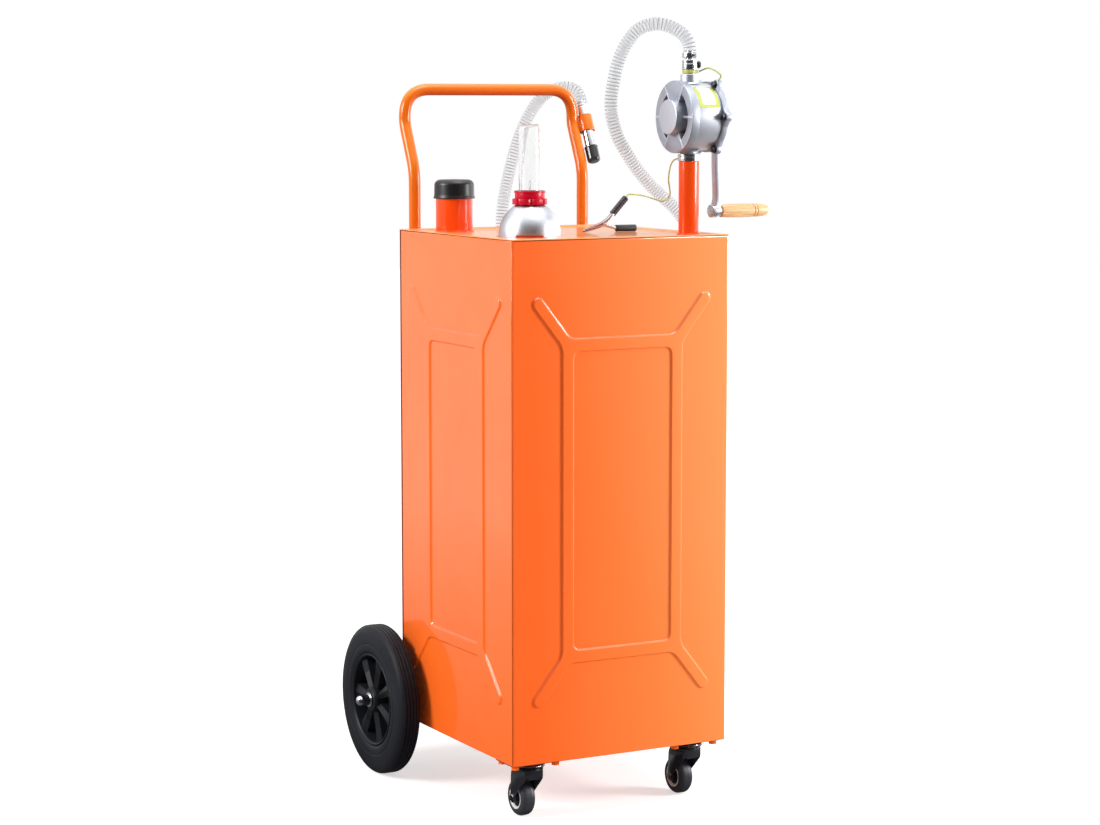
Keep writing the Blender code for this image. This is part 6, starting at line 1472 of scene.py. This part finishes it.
def build_caster(side, name):
    at = (side * CASTER_X, CASTER_Y, 0)
    plate = slab(box_outline(0.045, 0.031, 0.006, 5), 0.0025, low=PLATE_LOW, ease=0.0006)
    king = CROWN_LOW - GAP - 0.003
    race = [(0, king), (0.0085, king), (0.0085, king + 0.0026), (0.0050, king + 0.003), (0.0050, RACE_LOW),
            (0.0215, RACE_LOW), (0.0260, RACE_LOW + 0.0040), (0.0260, RACE_LOW + 0.0064), (0.0228, PLATE_LOW - 0.0010),
            (0.0228, PLATE_LOW + 0.001), (0, PLATE_LOW + 0.001)]
    race = turned(eased(race, 0.0012), ROUND)
    add(f"{name}_mount", merged(plate, (race, None, 1)), [FORK_BLACK, BRIGHT], "caddy_frame", at, None,
        f"{name}_plate", 35)
    top_edge = RACE_LOW - GAP
    crown = [(0.0056, CROWN_LOW), (0.0230, CROWN_LOW), (0.0230, top_edge), (0.0056, top_edge)]
    crown = turned(eased(crown, 0.0009, closed=True), ROUND, closed=True)
    boss = circle_arc(0.0085, math.radians(28), math.radians(-208), 16)
    boss = [(CASTER_TRAIL + y, CASTER_RADIUS + z) for y, z in boss]
    front, rear = -0.0172, 0.0218
    leg = [(rear, top_edge), (front, top_edge), (front, CROWN_LOW - 0.0130), (-0.0100, CROWN_LOW - 0.0200)]
    leg += [*reversed(boss), (rear + 0.0085, CROWN_LOW - 0.0075)]
    reach = [0.004, 0.0015, 0.006, 0.006, *[0.0] * len(boss), 0.006]
    outline = eased(leg, reach, closed=True, steps=5)
    half = LEG_GAP + LEG_SHEET
    parts = [(crown, None, 0)]
    for low in (LEG_GAP, -half):
        parts.append((slab(outline, LEG_SHEET, low=low, ease=0.0006), STAND_ALONG_X, 0))
    skirt_line = [(-half, 0), (half, 0), (half - 0.0015, -0.0125), (half - 0.0070, -0.0170), (0.0070 - half, -0.0170),
                  (0.0015 - half, -0.0125)]
    apron = slab(eased(skirt_line, 0.0040, closed=True, steps=5), 0.0022, ease=0.0006)
    parts.append((apron, Matrix.Translation((0, front + 0.0022, top_edge - 0.0004)) @ UPRIGHT, 0))
    pin = [(0, -half - 0.002), (0.006, -half - 0.002), (0.006, -half), (0.0035, -half), (0.0035, half), (0.006, half),
           (0.006, half + 0.002), (0, half + 0.002)]
    pin = turned(eased(pin, 0.0007), SMALL)
    parts.append((pin, Matrix.Translation((0, CASTER_TRAIL, CASTER_RADIUS)) @ ALONG_X, 1))
    body = f"{name.split('_')[0]}_fork"
    add(f"{name}_yoke", merged(*parts), [FORK_BLACK, BRIGHT], body, at, None, f"{name}_fork", 35)
    wheel_at = (side * CASTER_X, CASTER_Y + CASTER_TRAIL, CASTER_RADIUS)
    tyre = [(0.0193, -0.0120), (0.0255, -0.0120), (0.0300, -0.0070), (0.0300, 0.0070), (0.0255, 0.0120),
            (0.0193, 0.0120)]
    reach = [0.0005, 0.0026, 0.0040, 0.0040, 0.0026, 0.0005]
    shape = turned(eased(tyre, reach, closed=True, steps=7), FINE, closed=True)
    add(f"{name}_tread", shape, CASTER_RUBBER, f"{name}_wheel", wheel_at, ALONG_X, f"{name}_tyre", 40)
    half_hub = [(0.0047, -0.0142), (0.0080, -0.0142), (0.0080, -0.0080), (0.0146, -0.0080), (0.0158, -0.0108),
                (0.0176, -0.0120), (0.0190, -0.0120)]
    hub = half_hub + [(r, -x) for r, x in reversed(half_hub)]
    shape = turned(eased(hub, 0.0006, closed=True), ROUND, closed=True)
    for face in shape.faces:
        face.material_index = int(face.calc_center_median().xy.length < 0.0150)
    add(f"{name}_centre", shape, [WHITE, HUB_BLACK], f"{name}_wheel", wheel_at, ALONG_X, f"{name}_hub", 35)


def channel(line, halves, half_width, sheet, back):
    """A folded strip along a line: two cheeks, and the back that joins them over or under the line."""
    line = [Vector(p) for p in line]
    over = []
    under = []
    last = len(line) - 1
    for k, at in enumerate(line):
        along = (line[min(k + 1, last)] - line[max(k - 1, 0)]).normalized()
        across = Vector((-along.y, along.x))
        over.append(at + across * halves[k])
        under.append(at - across * halves[k])
    outline = eased([*under, *reversed(over)], 0.0010, closed=True, steps=3)
    edge, other = (over, under) if back > 0 else (under, over)
    inner = [a.lerp(b, min(sheet / (a - b).length, 0.5)) for a, b in zip(edge, other)]
    fold = [*inner, *reversed(edge)]
    cheeks = [slab(outline, sheet, low=low, ease=0.0002) for low in (half_width - sheet, -half_width)]
    return merged(*cheeks, slab(fold, 2 * half_width - sheet, low=sheet / 2 - half_width, ease=0.0001))


def build_clamp():
    """The ground clamp: two folded legs on a pin, in ribbed and smooth sleeves."""
    parts = [(0.0027, 0.0224), (0.0046, 0.0224), (0.0052, 0.0228)]
    at = 0.0236
    while at < 0.0570:
        parts += [(0.0055, at), (0.0056, at + 0.0006), (0.0056, at + 0.0020), (0.0055, at + 0.0024)]
        parts += [(0.0050, at + 0.0029), (0.0050, at + 0.0033)]
        at += 0.0040
    parts += [(0.0054, 0.0586), (0.0048, 0.0600), (0.0027, 0.0600)]
    raised = Matrix.Rotation(-CLAMP_SPREAD, 4, "Y") @ ALONG_X
    add("raised_sleeve", turned(eased(parts, 0.0003, closed=True), SMALL, closed=True), SOFT_BLACK, "clamp_jaw",
        CLAMP, raised, "clamp_upper_sleeve", 35)
    pill = [(0.0027, 0.0224), (0.0056, 0.0224), (0.0056, 0.0600), (0.0027, 0.0600)]
    pill = turned(eased(pill, [0, 0.0024, 0.0026, 0], closed=True, steps=7), SMALL, closed=True)
    low_line = DECK + GAP + SLEEVE_RADIUS - CLAMP.z
    add("lying_sleeve", pill, SOFT_BLACK, "caddy_frame", CLAMP + Vector((0, 0, low_line)), ALONG_X,
        "clamp_lower_sleeve", 35)
    floor = DECK + GAP - CLAMP.z
    pin = rod(0.0019, -0.0052, 0.0052, SMALL, 0.0002)
    rivets = merged(pin, rod(0.0030, -0.0058, -0.0049, SMALL, 0.0003), rod(0.0030, 0.0049, 0.0058, SMALL, 0.0003))
    lower = ((-0.0388, floor + 0.0009), (-0.020, floor + 0.0050), (0, 0), (0.012, -0.0042), (0.0225, low_line))
    lower_leg = channel(lower, (0.0010, 0.0014, 0.0032, 0.0024, 0.0022), 0.0030, 0.0008, -1)
    tang = rod(TANG_RADIUS, 0.0200, 0.0570, SMALL)
    whole = merged((lower_leg, UPRIGHT), (rivets, UPRIGHT), (tang, Matrix.Translation((0, 0, low_line)) @ ALONG_X))
    add("lying_leg", whole, BRIGHT, "caddy_frame", CLAMP, None, "clamp_lower", 35)
    lean = Vector((math.cos(CLAMP_SPREAD), math.sin(CLAMP_SPREAD)))
    gape = floor + 0.0040
    upper = ((-0.0388, gape), (-0.020, gape + 0.0046), (-0.001, 0.0010), tuple(lean * 0.011), tuple(lean * 0.0225))
    upper_leg = channel(upper, (0.0009, 0.0013, 0.0034, 0.0024, 0.0022), 0.0048, 0.0008, 1)
    tang = rod(TANG_RADIUS, 0.0200, 0.0570, SMALL)
    add("raised_leg", merged((upper_leg, UPRIGHT), (tang, raised)), BRIGHT, "clamp_jaw", CLAMP, None, "clamp_upper", 35)


# Studio


def lamp(name, at, to, size, power, colour=(1, 1, 1)):
    light = bpy.data.lights.new(name, "AREA")
    light.shape = "DISK"
    light.size = size
    light.energy = power
    light.color = colour
    holder = bpy.data.objects.new(name, light)
    holder.location = at
    holder.rotation_euler = (Vector(to) - Vector(at)).to_track_quat("-Z", "Y").to_euler()
    bpy.context.scene.collection.objects.link(holder)


def glow_effect():
    """How bright the studio looks in a gloss, by the way it lies: dark behind the camera, white around,
    with a bright screen to the right and another overhead."""
    tree, start, end = shared_effect("studio glow", {"Way": "vector"}, {"Level": "number"})
    way = start.outputs["Way"]
    toward = step(tree, "VectorMath", {0: way, 1: (-0.47, -0.88, 0)}, operation="DOT_PRODUCT").outputs["Value"]
    aside = step(tree, "VectorMath", {0: way, 1: (0.98, 0.2, 0)}, operation="DOT_PRODUCT").outputs["Value"]
    height = step(tree, "SeparateXYZ", {0: way}).outputs["Z"]
    around = ranged(tree, toward, 0.85, 0.05, 0.485, 0.575)
    screen = ranged(tree, aside, 0.0, 1.8, 0.78, 0.96)
    over = ranged(tree, height, 0.0, 1.4, 0.50, 0.80)
    both = step(tree, "Math", {0: screen, 1: over}, operation="ADD").outputs[0]
    level = step(tree, "Math", {0: around, 1: both}, operation="ADD").outputs[0]
    tree.links.new(level, end.inputs["Level"])
    return tree


def set_studio():
    """White surroundings, three soft lamps and a pale floor."""
    glow = glow_effect()
    world = bpy.data.worlds.new("studio")
    bpy.context.scene.world = world
    world.use_nodes = True
    tree = world.node_tree
    tree.nodes.clear()
    way = step(tree, "TexCoord", {}).outputs["Generated"]
    glossy = grouped(tree, glow, {"Way": way}).outputs["Level"]
    rays = step(tree, "LightPath", {})
    seen = step(tree, "Math", {0: rays.outputs["Is Camera Ray"], 1: rays.outputs["Is Transmission Ray"]},
                operation="MAXIMUM").outputs[0]
    even = step(tree, "Mix", {0: rays.outputs["Is Glossy Ray"], 2: 0.34, 3: glossy}, data_type="FLOAT").outputs[0]
    level = step(tree, "Mix", {0: seen, 2: even, 3: 1.0}, data_type="FLOAT").outputs[0]
    sky = step(tree, "Background", {"Color": (1, 1, 1, 1), "Strength": level})
    out = step(tree, "OutputWorld", {})
    tree.links.new(sky.outputs[0], out.inputs["Surface"])
    middle = (0, 0, 0.6)
    lamp("key", (2.3, -1.7, 1.3), middle, 1.1, 96)
    lamp("left fill", (-2.8, 0.3, 1.9), middle, 1.3, 88)
    lamp("top", (0.3, -0.6, 3.8), middle, 1.8, 40)
    bm = bmesh.new()
    loop(bm, circle(14, 96), -0.0004)
    fill(bm, bm.verts[:])
    mesh = bpy.data.meshes.new("floor")
    bm.to_mesh(mesh)
    bm.free()
    floor = bpy.data.objects.new("floor", mesh)
    bpy.context.scene.collection.objects.link(floor)
    mesh.materials.append(floor_finish(glow))


def floor_finish(glow):
    """Pale floor, lifted to white where it is looked at, which keeps the object's shadow."""
    made = bpy.data.materials.new("pale floor")
    made.use_nodes = True
    tree = made.node_tree
    shader = tree.nodes["Principled BSDF"]
    shader.inputs["Roughness"].default_value = 0.9
    shader.inputs["Specular IOR Level"].default_value = 0.1
    place = step(tree, "TexCoord", {}).outputs["Object"]
    cloud = step(tree, "TexNoise", {"Vector": place, "Scale": 1.2, "Detail": 2.0}).outputs["Fac"]
    shade = blended(tree, cloud, (0.66, 0.66, 0.66, 1), (0.63, 0.63, 0.63, 1))
    tree.links.new(shade, shader.inputs["Base Color"])
    rays = step(tree, "LightPath", {})
    away = step(tree, "VectorMath", {0: place}, operation="LENGTH").outputs["Value"]
    level = ranged(tree, away, 0.60, 0.90, 0.8, 4.5)
    lift = step(tree, "Emission", {"Color": (1, 1, 1, 1), "Strength": level})
    seen = step(tree, "Math", {0: rays.outputs["Is Camera Ray"], 1: rays.outputs["Is Transmission Ray"]},
                operation="MAXIMUM").outputs[0]
    dark = step(tree, "Emission", {"Color": (0, 0, 0, 1), "Strength": 0.0})
    extra = step(tree, "MixShader", {0: seen, 1: dark.outputs[0], 2: lift.outputs[0]})
    both = step(tree, "AddShader", {0: shader.outputs[0], 1: extra.outputs[0]})
    way = step(tree, "VectorMath", {0: place}, operation="NORMALIZE").outputs[0]
    shine = grouped(tree, glow, {"Way": way}).outputs["Level"]
    near = ranged(tree, away, 0.12, 1.0, 0.4, 3.2)
    shine = step(tree, "Math", {0: shine, 1: near}, operation="MULTIPLY").outputs[0]
    gloss = step(tree, "Emission", {"Color": (1, 1, 1, 1), "Strength": shine})
    mirrored = step(tree, "Math", {0: rays.outputs["Is Glossy Ray"], 1: seen}, operation="SUBTRACT", use_clamp=True)
    look = step(tree, "MixShader", {0: mirrored.outputs[0], 1: both.outputs[0], 2: gloss.outputs[0]})
    tree.links.new(look.outputs[0], tree.nodes["Material Output"].inputs["Surface"])
    return made


set_camera()
hose, hose_path = build_hose()
earth_wire, earth_path = build_ground_wire()
bond_lead, bond_ring, bond_path = build_bond_wire()
build_tank()
build_filler()
build_gauge()
build_post()
build_pump()
build_crank()
build_outlet()
build_handle()
spout, dust_cover = build_nozzle()
dress_node("rear_axle", BRIGHT)
for side, name in ((-1, "left"), (1, "right")):
    build_rear_wheel(side, f"{name}_wheel")
    build_caster(side, f"{name}_caster")
build_clamp()

set_studio()
scene = bpy.context.scene
scene.view_settings.view_transform = "Standard"
